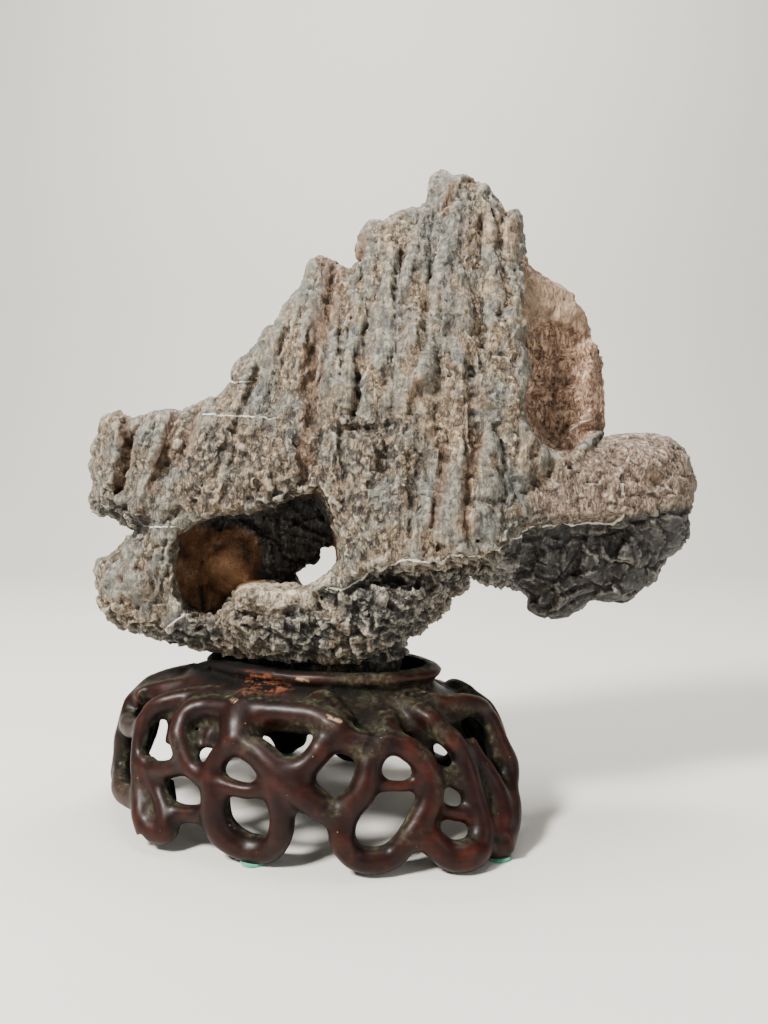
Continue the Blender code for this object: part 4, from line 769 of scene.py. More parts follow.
def keep(mesh, **values):
    """Store named numbers, one per vertex, on the mesh."""
    for name, value in values.items():
        made = mesh.attributes.new(name, "FLOAT", "POINT")
        made.data.foreach_set("value", np.ascontiguousarray(value, np.float32))


def smooth_path(rows, parts=8):
    """Catmull-Rom curve through the rows, with this many steps from each row to the next."""
    rows = np.array(rows, float)
    rows = np.vstack([2 * rows[0] - rows[1], rows, 2 * rows[-1] - rows[-2]])
    a, b, c, d = (rows[i : len(rows) - 3 + i, None] for i in range(4))
    t = np.linspace(0.0, 1.0, parts, endpoint=False)[None, :, None]
    path = 0.5 * (2 * b + (c - a) * t + (2 * a - 5 * b + 4 * c - d) * t**2 + (3 * b - a - 3 * c + d) * t**3)
    return np.vstack([path.reshape(-1, rows.shape[1]), rows[-2]])


def drum_sizes(height):
    heights, half_lengths, half_widths = zip(*DRUM)
    return np.interp(height, heights, half_lengths), np.interp(height, heights, half_widths)


def on_drum(angle, height, offset):
    """Point of the stand, in its own axes, at an angle round the oval of that height, pushed outward."""
    a, b = drum_sizes(height)
    turn = np.radians(angle)
    return np.stack([(a + offset) * np.cos(turn), (b + offset) * np.sin(turn), height + 0.0 * a], axis=-1)


def stand_matrix():
    x, y = STAND_CENTRE[0] + SHIFT[0], STAND_CENTRE[1] + SHIFT[1]
    return Matrix.Translation((x * MM, y * MM, 0.0)) @ Matrix.Rotation(math.radians(STAND_TURN), 4, "Z")


def oval_block(offset, half_length, half_width, low, high, draft):
    """An upright oval cylinder on the stand's axes, wider at its top by the draft."""
    block = bmesh.new()
    bmesh.ops.create_cone(
        block, cap_ends=True, segments=96, radius1=1.0, radius2=1.0 + draft / half_width,
        depth=(high - low) * MM,
    )
    mesh = bpy.data.meshes.new("oval")
    block.to_mesh(mesh)
    block.free()
    mesh.transform(Matrix.Diagonal((half_length * MM, half_width * MM, 1.0)).to_4x4())
    mesh.transform(Matrix.Translation((offset * MM, 0.0, (low + high) / 2 * MM)))
    mesh.transform(stand_matrix())
    return new_piece("oval", mesh)


def box_block(low, high):
    """An upright box between two corners, in mm."""
    block = bmesh.new()
    bmesh.ops.create_cube(block, size=1.0)
    mesh = bpy.data.meshes.new("box")
    block.to_mesh(mesh)
    block.free()
    mesh.transform(Matrix.Diagonal([(b - a) * MM for a, b in zip(low, high)]).to_4x4())
    mesh.transform(Matrix.Translation([(a + b) / 2 * MM for a, b in zip(low, high)]))
    return new_piece("box", mesh)


# ---- the stone -----------------------------------------------------------------------------------
def stone_slab():
    """The outline, less the window through it, as an upright slab about the middle plane."""
    curve = bpy.data.curves.new("rock_slab", "CURVE")
    curve.dimensions = "2D"
    curve.fill_mode = "BOTH"
    curve.extrude = SLAB_HALF * MM
    for points in (OUTLINE, WINDOW):
        spline = curve.splines.new("POLY")
        spline.points.add(len(points) - 1)
        for point, (x, z) in zip(spline.points, points):
            point.co = (x * MM, z * MM, 0.0, 1.0)
        spline.use_cyclic_u = True
    made = welded(baked(new_piece("rock_slab", curve)))
    made.data.transform(Matrix.Rotation(math.radians(90.0), 4, "X"))
    return baked(voxel(made, SLAB_CELL))


def swell(mesh):
    """Carry the slab's faces out to the depths, taper it to the front, and keep its underside off the lip."""
    x, y, z = places(mesh).T
    front, back = front_and_back(x, z)
    y = np.where(y < 0, y / SLAB_HALF * front, y / SLAB_HALF * back)
    narrow = 1.0 + y / EYE_Y
    x, z = x * narrow, EYE_Z + (z - EYE_Z) * narrow
    z = np.maximum(z, UNDERSIDE_LEVEL + 0.15 * (z - UNDERSIDE_LEVEL))
    move_to(mesh, np.stack([x, y, np.maximum(z, UNDERSIDE_LEVEL)], axis=-1))


def weather(mesh):
    """Move each vertex along its normal by the small forms of its surface, and store the finish's masks.

    The plain face carries raised upright bands with steep sides, cut from noise stretched upright, and lumps
    of folded noise between them. Pebbles are domes and flakes are tilted chips of jittered lattices, the
    flakes cut by thin layers. Under the lobe broad facets carry small chips that lie along it.
    """
    points, normals = places(mesh), outward(mesh)
    x, y, z = points.T
    fx, fz = on_face(x, y, z)
    wander = np.stack([noise(points, 9.0, 3, salt) - 0.5 for salt in (1, 2, 3)], axis=1) * 5.0
    ragged = np.stack([noise(points, 3.0, 2, salt) - 0.5 for salt in (4, 5)], axis=1) * 2.4
    wx, wz = fx + ragged[:, 0], fz + ragged[:, 1]
    seen = step(0.8 - normals[:, 1] * 2.0)
    zone = {name: area_mask(wx, wz, shapes) * seen for name, shapes in ZONES.items()}
    rx, rz = fx + 0.3 * ragged[:, 0], fz + 0.3 * ragged[:, 1]
    for name in ("cavern", "recess"):
        zone[name] = area_mask(rx, rz, [(REGIONS[name][0], 0.9)]) * seen
    floor = step((normals[:, 2] - 0.35) / 0.3) * step((98.0 - z) / 6.0)
    zone["cavern"] = zone["cavern"] * step((y + 22.0) / 5.0) * (1.0 - 0.85 * floor)
    zone["ledge"] = zone["ledge"] * step((-6.0 - y) / 6.0)
    worn = blob(wx, wz, WORN) * seen
    groove, stain, soot, rib = np.zeros_like(x), np.zeros_like(x), np.zeros_like(x), np.zeros_like(x)
    broken = 0.25 + 1.1 * step((noise(points, 5.0, 2, 7) - 0.32) / 0.3)
    # each groove also lays painted shade along itself, by its last column
    for line, half_width, depth, brown, black in GROOVES:
        gap = edge_distance(wx, wz, line, closed=False) / half_width
        groove = np.maximum(groove, depth * broken * seen / (1.0 + gap**4))
        stain = np.maximum(stain, brown * seen / (1.0 + (gap / 1.8) ** 4))
        soot = np.maximum(soot, 0.6 * black * broken * seen / (1.0 + gap**4))
    for line, half_width, rise in RIBS:
        gap = edge_distance(wx, wz, line, closed=False) / half_width
        rib = np.maximum(rib, rise * seen / (1.0 + gap**4))

    bent = points + wander
    lean = bent[:, 0] - 0.4 * step((-5.0 - x) / 50.0) * (z - 160.0)
    upright = np.stack([lean, 0.7 * bent[:, 1], bent[:, 2] / 8.0], axis=1)
    fine, coarse = noise(points, 2.2, 2, 5) - 0.5, noise(points, 8.0, 2, 6) - 0.5
    fold = folded(bent / (1.0, 1.0, 1.6), 5.5, 2, 31)
    small_fold = folded(bent / (1.0, 1.0, 1.3), 3.0, 1, 32)
    on_rib = np.clip(rib / 1.2, 0.0, 1.0)
    raised = np.maximum(step((noise(upright, 4.4, 2, 33) - 0.45) / 0.10), on_rib)
    wave = noise(upright, 9.0, 1, 34) - 0.5
    small, first, _, value = chips(bent, np.array((3.3, 3.3, 3.6)), 100)
    pebble = np.clip(1.0 - 1.6 * first**2, 0, 1)
    tilt = bent + np.stack([0 * x, 0 * x, 0.22 * x], axis=1)
    chip, _, seam, block = chips(tilt, np.array((6.5, 6.0, 4.5)), 200)
    layer = (tilt[:, 2] / 1.9 + 3.0 * block) % 1.0
    along = np.stack([bent[:, 0] / 1.7, bent[:, 1], bent[:, 2] + 0.25 * bent[:, 0]], axis=1)
    scale, _, scale_seam, _ = chips(along, 3.6, 400)
    broad, _, broad_seam, wide = chips(bent, np.array((15.0, 12.0, 12.0)), 300)
    across, down = 0.55 * bent[:, 0] + 0.6 * bent[:, 2], 0.35 * (bent[:, 2] - bent[:, 0])
    crumple = folded(np.stack([across, bent[:, 1], down], axis=1), 2.6, 2, 36)

    bare = 1.0 - np.maximum(zone["cavern"], zone["recess"])
    cream = blob(wx, wz, TINTS["cream"]) * seen * bare
    flakes, scallops = zone["flakes"] * bare * (1.0 - 0.8 * cream), zone["scallops"] * bare
    rim = zone["rim"] * bare * (1.0 - flakes)
    pebbles, brow, lobe = zone["pebbles"] * bare, zone["brow"] * bare, zone["lobe"] * bare
    rest = bare * (1 - flakes) * (1 - scallops) * (1 - brow) * (1 - lobe)
    raised = raised * rest * (1.0 - 0.7 * pebbles) * (1.0 - rim)
    plain = rest * (1.0 - worn)
    low = plain * (1.0 - raised)
    rise = plain * (1.15 * raised + 1.6 * wave + 0.6 * (fold - 0.6) + 1.0 * coarse + 0.8 * chip)
    rise += low * (0.8 * (small_fold - 0.6) + 0.5 * small) + 0.35 * plain * raised * small
    domes = pebble * (0.6 + 0.5 * value) - 0.45
    rise += plain * pebbles * 0.8 * domes + rest * rim * (2.4 * broad + 1.0 * chip)
    rise += flakes * (2.6 * chip + 1.6 * (block - 0.5) + 0.8 * (0.5 - layer) + 0.9 * small + 1.2 * coarse)
    seams = step(1.0 - broad_seam / 0.10)
    rise += scallops * (0.8 * scale + 2.6 * broad + 0.3 * (small_fold - 0.6) - 1.0 * seams)
    rise += brow * (1.4 * (fold - 0.6) + 1.1 * (pebble - 0.4) + 2.0 * chip)
    lobe_rise = lobe * (0.4 * (small_fold - 0.6) + 1.2 * chip + 0.3 * small + 1.4 * coarse)
    rise += lobe_rise + (bare - scallops) * 0.4 * fine
    facet = zone["facet"]
    rough = 1.4 * (crumple - 0.55) + 2.2 * coarse + 2.2 * broad + 0.5 * fine
    rise += zone["recess"] * (1.0 - 0.8 * facet) * rough
    rise += zone["recess"] * facet * (1.2 * broad + 0.4 * chip)
    rise += zone["cavern"] * (2.0 * (noise(points, 15.0, 2, 9) - 0.5) + 0.3 * fine)
    rise += zone["cavern"] * 3.0 * blob(wx, wz, [BULGE])
    rise += zone["cavern"] * zone["roof"] * (1.6 * scale + 3.0 * broad)
    rise += zone["cavern"] * zone["ledge"] * (1.0 * (pebble - 0.4) + 1.0 * (small_fold - 0.6))
    rise += 0.5 * rib - 0.6 * groove
    for ring_x, ring_z, hole, ring in RINGS:
        r = np.hypot(fx - ring_x, fz - ring_z)
        rise += seen * (0.8 * np.exp(-(((r - ring) / 0.8) ** 2)) - 0.9 * np.exp(-((r / hole) ** 2)))
    rise *= step((z - UNDERSIDE_LEVEL + 0.5) / 2.0)
    points = points + normals * rise[:, None]
    move_to(mesh, points)
    veins = line_gap(fx + 0.4 * ragged[:, 0], fz + 0.4 * ragged[:, 1], VEINS)
    cut = flakes * step(1.0 - seam / 0.22) + scallops * step(1.0 - scale_seam / 0.2)
    tip = flakes * step(chip / 0.25 + 0.2) + scallops * step(scale / 0.25)
    keep(
        mesh, raised=raised, chip=cut, tip=tip,
        block=flakes * (block - 0.5) + scallops * 0.8 * (wide - 0.5) + 0.5,
        warm=blob(wx, wz, TINTS["warm"]) * seen, slate=blob(wx, wz, TINTS["slate"]) * seen,
        # painted shade of the grooves and of the listed spots
        soot=np.maximum(soot, 0.8 * blob(wx, wz, TINTS["soot"]) * seen),
        pebbles=np.clip(pebbles + brow * 0.7, 0, 1),
        stain=np.maximum(stain, blob(wx, wz, TINTS["stain"]) * seen), rib=np.maximum(worn * 0.8, on_rib),
        flakes=flakes, scallops=scallops, rim=rim, lobe=lobe, cavern=zone["cavern"], recess=zone["recess"],
        brow=brow, facet=facet, roof=zone["roof"], ledge=zone["ledge"], cream=cream,
        vein=np.clip(veins, -5, 5), vein_near=np.where((seen > 0.3) & (np.abs(veins) < 3.0), 1.0, 0.0),
    )


def build_rock():
    """The slab swelled, fused with its tongue, weathered, thinned, and kept inside its node's box."""
    slab = stone_slab()
    swell(slab.data)
    plug_low = SEAT_LEVEL - PLUG_SINK
    plug = oval_block(PLUG_OFFSET, PLUG_HALF_LENGTH, PLUG_HALF_WIDTH, plug_low, PLUG_TOP, PLUG_DRAFT)
    plug.data.transform(Matrix.Translation((-SHIFT[0] * MM, -SHIFT[1] * MM, 0.0)))
    rock = baked(smooth(voxel(joined("rock", slab, plug), ROCK_CELL), 0.5, 1))
    weather(rock.data)
    keep(rock.data, proud=proudness(rock.data, NEAR), hollow=proudness(rock.data, WIDE))
    rock = thinned(rock, MOST_TRIANGLES)
    rock.data.transform(Matrix.Translation((SHIFT[0] * MM, SHIFT[1] * MM, 0.0)))
    low, high = (np.array(corner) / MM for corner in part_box("rock"))
    points = places(rock.data)
    move_to(rock.data, np.clip(points, np.maximum(low, (-1e3, -1e3, SEAT_LEVEL + GAP)), high))
    rock.name = rock.data.name = "weathered_stone"
    return rock


# ---- the stand -----------------------------------------------------------------------------------
def root_tubes():
    """All the roots as round tubes in one mesh."""
    curve = bpy.data.curves.new("roots", "CURVE")
    curve.dimensions = "3D"
    curve.bevel_depth = MM
    curve.bevel_resolution = 5
    curve.use_fill_caps = True
    tables = list(ROOTS.values()) + list(BACK_EXTRA.values()) + list(HOLLOW_BACKS.values())
    for name, turn in BACK_ROOTS:
        tables.append([(turn - angle, *rest) for angle, *rest in ROOTS[name]])
    for angle, offset in PADS.values():
        tables.append([(angle, height, offset, FOOT_RADIUS) for height in (9.0, 3.0, -3.0)])
    for rows in tables:
        rows = np.array(rows, float)
        rows[:, 0] = np.degrees(np.unwrap(np.radians(rows[:, 0])))
        path = smooth_path(rows)
        points = on_drum(path[:, 0], path[:, 1], path[:, 2]) * MM
        spline = curve.splines.new("POLY")
        spline.points.add(len(path) - 1)
        spline.points.foreach_set("co", np.column_stack([points, np.ones(len(path))]).ravel())
        spline.points.foreach_set("radius", path[:, 3] + WEB)
    return welded(baked(new_piece("roots", curve)))


def ring_skin(name, grid):
    """A skin over rings of points, the rows of the grid, each joined to the next and the poles closed."""
    m, n = grid.shape[:2]
    rows, around = np.meshgrid(np.arange(m - 1), np.arange(n), indexing="ij")
    after = (around + 1) % n
    low, high = rows * n, (rows + 1) * n
    quads = np.stack([low + around, high + around, high + after, low + after], axis=-1)
    mesh = bpy.data.meshes.new(name)
    mesh.from_pydata((grid.reshape(-1, 3) * MM).tolist(), [], quads.reshape(-1, 4).tolist())
    return welded(new_piece(name, mesh))


def turned_cup():
    """The cup: its profile turned about Z, then widened to the oval."""
    turn = np.radians(np.arange(120) * 3.0)
    profile = np.array(CUP_PROFILE)
    ring = np.stack([np.cos(turn), np.sin(turn)], axis=-1)
    return ring_skin("cup", np.concatenate([
        profile[:, None, :1] * ring[None] * (CUP_HALF_LENGTH, CUP_HALF_WIDTH) + (CUP_OFFSET, 0.0),
        np.broadcast_to(profile[:, None, 1:], (len(profile), len(turn), 1)),
    ], axis=2))


def shoulder():
    """The shoulder: its section, closed on itself, carried round the drum."""
    turn = np.arange(120) * 3.0
    section = SHOULDER[::-1] + SHOULDER[-1:]
    rings = [on_drum(turn, np.full_like(turn, height), out) for height, out in section]
    return ring_skin("shoulder", np.stack(rings))


def build_stand():
    """The roots and shoulder fused and pared back, which leaves webs; then the cup and the cuts."""
    roots = baked(smooth(voxel(joined("roots", root_tubes(), shoulder()), STAND_CELL), 0.5, 6))
    move_to(roots.data, places(roots.data) - outward(roots.data) * WEB)
    stand = joined("stand", roots, turned_cup())
    stand.data.transform(stand_matrix())
    stand = baked(smooth(voxel(stand, STAND_CELL), 0.5, 6))
    points = places(stand.data)
    lumps = 0.9 * (noise(points, 11.0, 2, 61) - 0.5) + 0.2 * (noise(points, 3.4, 2, 62) - 0.5)
    move_to(stand.data, points + outward(stand.data) * lumps[:, None])
    seat = oval_block(CUP_OFFSET, SEAT_HALF_LENGTH, SEAT_HALF_WIDTH, SEAT_LEVEL, SEAT_TOP, SEAT_DRAFT)
    stand = cut_by(stand, seat)
    stand = cut_by(stand, box_block((-200, -150, -20), (200, 150, FOOT_LEVEL)))
    low, high = (np.array(corner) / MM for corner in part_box("stand"))
    points = np.clip(places(stand.data), low, high)
    move_to(stand.data, points)
    to_own_axes = stand_matrix().inverted()
    turn_back = np.array(to_own_axes.to_3x3()).T
    local = points @ turn_back
    local[:, :2] += np.array(to_own_axes.translation)[:2] / MM
    a, b = drum_sizes(local[:, 2])
    radius = np.hypot(local[:, 0] / a, local[:, 1] / b)
    normals = outward(stand.data)
    turned = normals @ turn_back
    away = np.stack([local[:, 0] / a**2, local[:, 1] / b**2], axis=1)
    away /= np.linalg.norm(away, axis=1)[:, None]
    x, y, z = (points - (*SHIFT, 0.0)).T
    ragged = np.stack([noise(points, 2.5, 2, salt) - 0.5 for salt in (63, 64)]) * 3.0
    x, z = on_face(x, y, z)
    x, z = x + ragged[0], z + ragged[1]
    front = step(0.5 - normals[:, 1] * 2.0) * step(-y / 10.0)
    chipped = np.abs(line_gap(x - 0.6 * ragged[0], z - 0.8 * ragged[1], CHIPPED))
    keep(
        stand.data, inward=(1.0 - radius) * np.sqrt(a * b), proud=proudness(stand.data, STAND_NEAR),
        hollow=proudness(stand.data, STAND_WIDE), outer=(turned[:, :2] * away).sum(axis=1),
        up=normals[:, 2], rubbed=blob(x, z, RUBBED) * front, green=blob(x, z, GREEN) * front,
        chipped=step(1.0 - chipped) * front * step(z - 34.0),
    )
    stand = thinned(stand, MOST_TRIANGLES)
    stand.name = stand.data.name = "carved_roots"
    return stand


# ---- the pads ------------------------------------------------------------------------------------
def felt_disc(name, node):
    """A round pad: rings from the middle over a rounded edge and back, its skin moved by fine noise."""
    low, high = (np.array(corner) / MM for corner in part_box(node))
    middle = (low + high) / 2
    t = np.linspace(0.0, math.pi / 2, 7)
    edge = [(1.0 - 0.10 * (1 - math.sin(a)), 0.5 - 0.30 * (1 - math.cos(a))) for a in t]
    upper = [(s, 0.5) for s in np.linspace(0.0, 0.86, 13)] + edge
    profile = np.array([(s, h) for s, h in upper] + [(s, -h) for s, h in reversed(upper)])
    turn = np.radians(np.arange(96) * 3.75)
    grid = np.stack([
        profile[:, :1] * np.cos(turn) * PAD_RADIUS, profile[:, :1] * np.sin(turn) * PAD_RADIUS,
        np.repeat(profile[:, 1:], len(turn), axis=1) * PAD_HEIGHT,
    ], axis=-1)
    points = grid.reshape(-1, 3)
    fuzz = noise(points + 40.0, 0.7, 2, 21)
    points = points * (1.0 - 0.05 * fuzz[:, None] * (0.4, 0.4, 1.0)) + middle
    points = np.clip(points, low, high)
    disc = ring_skin(name, points.reshape(grid.shape))
    disc.data.shade_smooth()
    return disc


# ---- finishes ------------------------------------------------------------------------------------
class Value:
    """A socket that can be used in sums: each operator adds one Math node."""

    def __init__(self, paint, socket):
        self.paint, self.socket = paint, socket

    def math(self, operation, *terms):
        return self.paint.node("ShaderNodeMath", {"operation": operation}, dict(enumerate(terms)))

    def __add__(self, other):
        return self.math("ADD", self, other)

    def __sub__(self, other):
        return self.math("SUBTRACT", self, other)

    def __rsub__(self, other):
        return self.math("SUBTRACT", other, self)

    def __mul__(self, other):
        return self.math("MULTIPLY", self, other)

    def __abs__(self):
        return self.math("ABSOLUTE", self)

    def most(self, other):
        return self.math("MAXIMUM", self, other)

    def least(self, other):
        return self.math("MINIMUM", self, other)

    __radd__, __rmul__ = __add__, __mul__


class Finish:
    """A material. Constants are set on the shader's own sockets, and node() adds any other node."""

    def __init__(self, name, **constants):
        self.material = bpy.data.materials.new(name)
        self.material.use_nodes = True
        self.tree = self.material.node_tree
        self.surface = self.tree.nodes["Principled BSDF"]
        for socket, value in constants.items():
            self.surface.inputs[socket.replace("_", " ")].default_value = value
        self.place = self.node("ShaderNodeTexCoord", {}, {}, "Object")

    def node(self, kind, settings, sockets, out=0):
        made = self.tree.nodes.new(kind)
        for name, value in settings.items():
            if name == "stops":
                ramp = made.color_ramp.elements
                while len(ramp) < len(value):
                    ramp.new(0.5)
                for element, (at, colour) in zip(ramp, value):
                    element.position, element.color = at, (*colour, 1.0)
            else:
                setattr(made, name, value)
        for socket, value in sockets.items():
            self.feed(made.inputs[socket], value)
        return Value(self, made.outputs[out])

    def feed(self, socket, value):
        if isinstance(value, Value):
            self.tree.links.new(value.socket, socket)
        elif socket.type == "RGBA" and len(value) == 3:
            socket.default_value = (*value, 1.0)
        else:
            socket.default_value = value

    def stored(self, name):
        return self.node("ShaderNodeAttribute", {"attribute_name": name}, {}, "Fac")

    def noise(self, size, detail=4.0, rough=0.55, stretch=(1, 1, 1), shift=0.0, bend=0.0):
        """Noise of 0..1 with features about this many mm across, stretched along the axes."""
        scaled = self.node(
            "ShaderNodeMapping", {}, {"Vector": self.place, "Location": (shift, shift, shift),
                                      "Scale": tuple(1000.0 / size / s for s in stretch)}
        )
        return self.node(
            "ShaderNodeTexNoise", {}, {"Vector": scaled, "Scale": 1.0, "Detail": detail, "Roughness": rough,
                                       "Distortion": bend}
        )

    def bent(self, sway):
        """The coordinates, bent by up to some mm."""
        sockets = {"Vector": self.place, "Scale": 160.0, "Detail": 2.0}
        drift = self.node("ShaderNodeTexNoise", {}, sockets, "Color")
        drift = self.vector("SUBTRACT", drift, (0.5, 0.5, 0.5))
        sockets = {0: drift, 3: 4.0 * sway * MM}
        drift = self.node("ShaderNodeVectorMath", {"operation": "SCALE"}, sockets, "Vector")
        return self.vector("ADD", self.place, drift)

    def vector(self, operation, first, second, out="Vector"):
        return self.node("ShaderNodeVectorMath", {"operation": operation}, {0: first, 1: second}, out)

    def lattice(self, size, stretch, sway):
        """Bent coordinates in which scattered points lie about one apart."""
        scale = tuple(1000.0 / size / s for s in stretch)
        return self.node("ShaderNodeMapping", {}, {"Vector": self.bent(sway), "Scale": scale})

    def cells(self, size, stretch=(1, 1, 1), sway=0.0):
        """Distance to the nearest of scattered points, on coordinates bent by some mm."""
        sockets = {"Vector": self.lattice(size, stretch, sway), "Scale": 1.0}
        return self.node("ShaderNodeTexVoronoi", {}, sockets, "Distance")

    def facets(self, size, stretch=(1, 1, 1)):
        """Height, about -0.4 to 0.4, of small flat facets, each tilted its own way."""
        place = self.lattice(size, stretch, size * 0.3)
        middle = self.node("ShaderNodeTexVoronoi", {}, {"Vector": place, "Scale": 1.0}, "Position")
        number = Value(self, middle.socket.node.outputs["Color"])
        away = self.vector("SUBTRACT", place, middle)
        return self.vector("DOT_PRODUCT", away, self.vector("SUBTRACT", number, (0.5, 0.5, 0.5)), "Value")

    def rise(self, value, low, high):
        """Smooth step of a value from 0 at low to 1 at high."""
        return self.node(
            "ShaderNodeMapRange", {"interpolation_type": "SMOOTHSTEP"},
            {"Value": value, "From Min": low, "From Max": high},
        )

    def ramp(self, value, *stops):
        return self.node("ShaderNodeValToRGB", {"stops": stops}, {"Fac": value}, "Color")

    def blend(self, share, first, second, mode="MIX"):
        """The first colour, with a share of the second."""
        settings = {"data_type": "RGBA", "blend_type": mode}
        return self.node("ShaderNodeMix", settings, {0: share, 6: first, 7: second}, 2)

    def bump(self, height, strength, distance, under=None):
        sockets = {"Height": height, "Strength": strength, "Distance": distance}
        if under is not None:
            sockets["Normal"] = under
        return self.node("ShaderNodeBump", {}, sockets, "Normal")

    def done(self, **links):
        for socket, value in links.items():
            self.feed(self.surface.inputs[socket.replace("_", " ")], value)
        return self.material


def limestone():
    """Weathered stone: grey and brown patches, a slaty flaked underside and white veins, with painted shade
    in its creases, pits, seams and hollows and under overhangs, and painted highlights on its crests.
    """
    f = Finish("weathered_limestone", Specular_IOR_Level=0.35)
    rib, warm, slate, soot, stain = (f.stored(n) for n in ("rib", "warm", "slate", "soot", "stain"))
    flakes, scallops, rim, lobe, brow = (f.stored(n) for n in ("flakes", "scallops", "rim", "lobe", "brow"))
    cavern, recess, facet, roof, ledge = (f.stored(n) for n in ("cavern", "recess", "facet", "roof", "ledge"))
    proud, hollow, pebbles, block = (f.stored(n) for n in ("proud", "hollow", "pebbles", "block"))
    raised, chip, tip, cream = (f.stored(n) for n in ("raised", "chip", "tip", "cream"))
    under = flakes.most(scallops)
    even = raised.most(rib).most(cavern * 0.8).most(facet * 0.6).least(1.0)

    patch, broad = f.noise(10.0, 4, 0.6, shift=3.0), f.noise(36.0, 3)
    grit, lumps = f.noise(0.9, 3, 0.65, shift=2.0), f.noise(3.2, 4, 0.6, shift=1.0)
    folds = (abs(f.noise(2.6, 3, 0.55, stretch=(1, 1, 2.2), shift=1.5, bend=0.5) - 0.5) * 6.0).least(1.0)
    stripe = f.noise(1.3, 3, 0.6, stretch=(1, 1, 10), shift=4.0)
    strata = f.noise(1.4, 3, 0.6, stretch=(5, 3, 1), shift=6.0)
    small, middling = f.facets(2.0, (1, 1, 1.4)), f.facets(4.2, (1, 1, 1.5))
    seeds = f.cells(2.8, stretch=(1, 1, 1.3), sway=0.8)
    dents = f.facets(3.0, (1.9, 1, 0.8))
    pits = f.rise(f.noise(1.7, 2, 0.5, shift=5.0), 0.38, 0.28) * (1.0 - even * 0.6)
    crease = f.rise(folds, 0.34, 0.0) * (1.0 - even * 0.75) * f.rise(patch, 0.30, 0.5)
    height = (
        folds * 0.45 * (1.0 - even * 0.6) * (1.0 - scallops * 0.6)
        + small * 0.9 * (1.0 - even * 0.4) + middling * 0.9
        + (1.0 - seeds * seeds * 1.5) * pebbles * 0.35 + grit * 0.22 + stripe * 0.45 * even - pits * 0.40
        + strata * flakes * 0.5 + dents * scallops * 1.5
    )
    # painted shade: creases, pits and the gaps between pebbles are darkened in the colour as well as sunk in
    # the bump
    gaps = f.rise(seeds, 0.44, 0.66) * pebbles * f.rise(patch, 0.40, 0.52)
    crease_shade = (crease * 0.75 + pits * 0.55 + gaps * 0.7).least(1.0)
    # proud * 0.06 makes crests a little lighter and creases a little darker: painted light and shade
    shade = grit * 0.25 + stripe * 0.30 + lumps * 0.45 + small * 0.16 + proud * 0.06

    grey = f.ramp(
        shade, (0.36, (0.046, 0.045, 0.041)), (0.49, (0.118, 0.111, 0.090)), (0.63, (0.30, 0.276, 0.215)),
    )
    tan = f.ramp(
        shade, (0.36, (0.066, 0.040, 0.025)), (0.49, (0.180, 0.122, 0.070)), (0.63, (0.42, 0.315, 0.20)),
    )
    blue = f.ramp(
        shade, (0.36, (0.026, 0.029, 0.031)), (0.49, (0.080, 0.084, 0.077)), (0.62, (0.20, 0.203, 0.175)),
    )
    warmth = f.rise(broad * 0.35 + patch * 0.65 - raised * 0.14, 0.36, 0.56) * 0.85
    warmth = warmth.most(warm * f.rise(patch + warm * 0.3, 0.40, 0.65)).least(1.0)
    cool = f.rise(f.noise(13.0, 4, 0.6, shift=9.0) + rim * 0.06, 0.50, 0.64) * 0.8
    cool = (cool * 0.8).most(slate * f.rise(patch + slate * 0.3, 0.4, 0.7))
    tone = f.blend(warmth, grey, tan)
    tone = f.blend(cool * (1.0 - warmth * 0.7), tone, blue)
    pink = f.ramp(
        shade, (0.34, (0.070, 0.045, 0.034)), (0.48, (0.215, 0.148, 0.112)), (0.62, (0.38, 0.29, 0.225)),
    )
    tone = f.blend(lobe * 0.75 * f.rise(patch, 0.30, 0.46), tone, pink)
    plate = f.ramp(
        shade + (block - 0.5) * 0.24, (0.39, (0.0045, 0.0047, 0.0047)), (0.52, (0.024, 0.0245, 0.0235)),
        (0.65, (0.175, 0.171, 0.148)),
    )
    plate = f.blend(chip * tip * f.rise(patch, 0.36, 0.5) * 0.8, plate, (0.44, 0.405, 0.325))
    plate = f.blend(f.rise(broad + lumps * 0.3, 0.66, 0.76) * 0.5, plate, tan)
    tone = f.blend(flakes * 0.95, tone, plate)
    # the lobe's underside: the stone's own charcoal, made darker still as painted shade under the lobe
    char = f.ramp(
        shade + (block - 0.5) * 0.14, (0.40, (0.0028, 0.0028, 0.0028)), (0.52, (0.0125, 0.0127, 0.0125)),
        (0.63, (0.115, 0.116, 0.110)),
    )
    char = f.blend(chip * tip * 0.35, char, (0.21, 0.20, 0.175))
    tone = f.blend(scallops * 0.96, tone, char)
    # the brow over the cavern takes some slate colour: painted shade under its overhang
    tone = f.blend(brow * 0.30, tone, plate)
    tone = f.blend(cream * f.rise(lumps + cream * 0.3, 0.45, 0.6), tone, f.ramp(
        shade, (0.38, (0.16, 0.115, 0.072)), (0.5, (0.40, 0.33, 0.235)), (0.62, (0.62, 0.55, 0.43))
    ))
    rust = f.ramp(shade, (0.34, (0.038, 0.018, 0.010)), (0.62, (0.20, 0.110, 0.058)))
    tone = f.blend(stain * f.rise(patch + stain * 0.4, 0.4, 0.75) * 0.8, tone, rust)

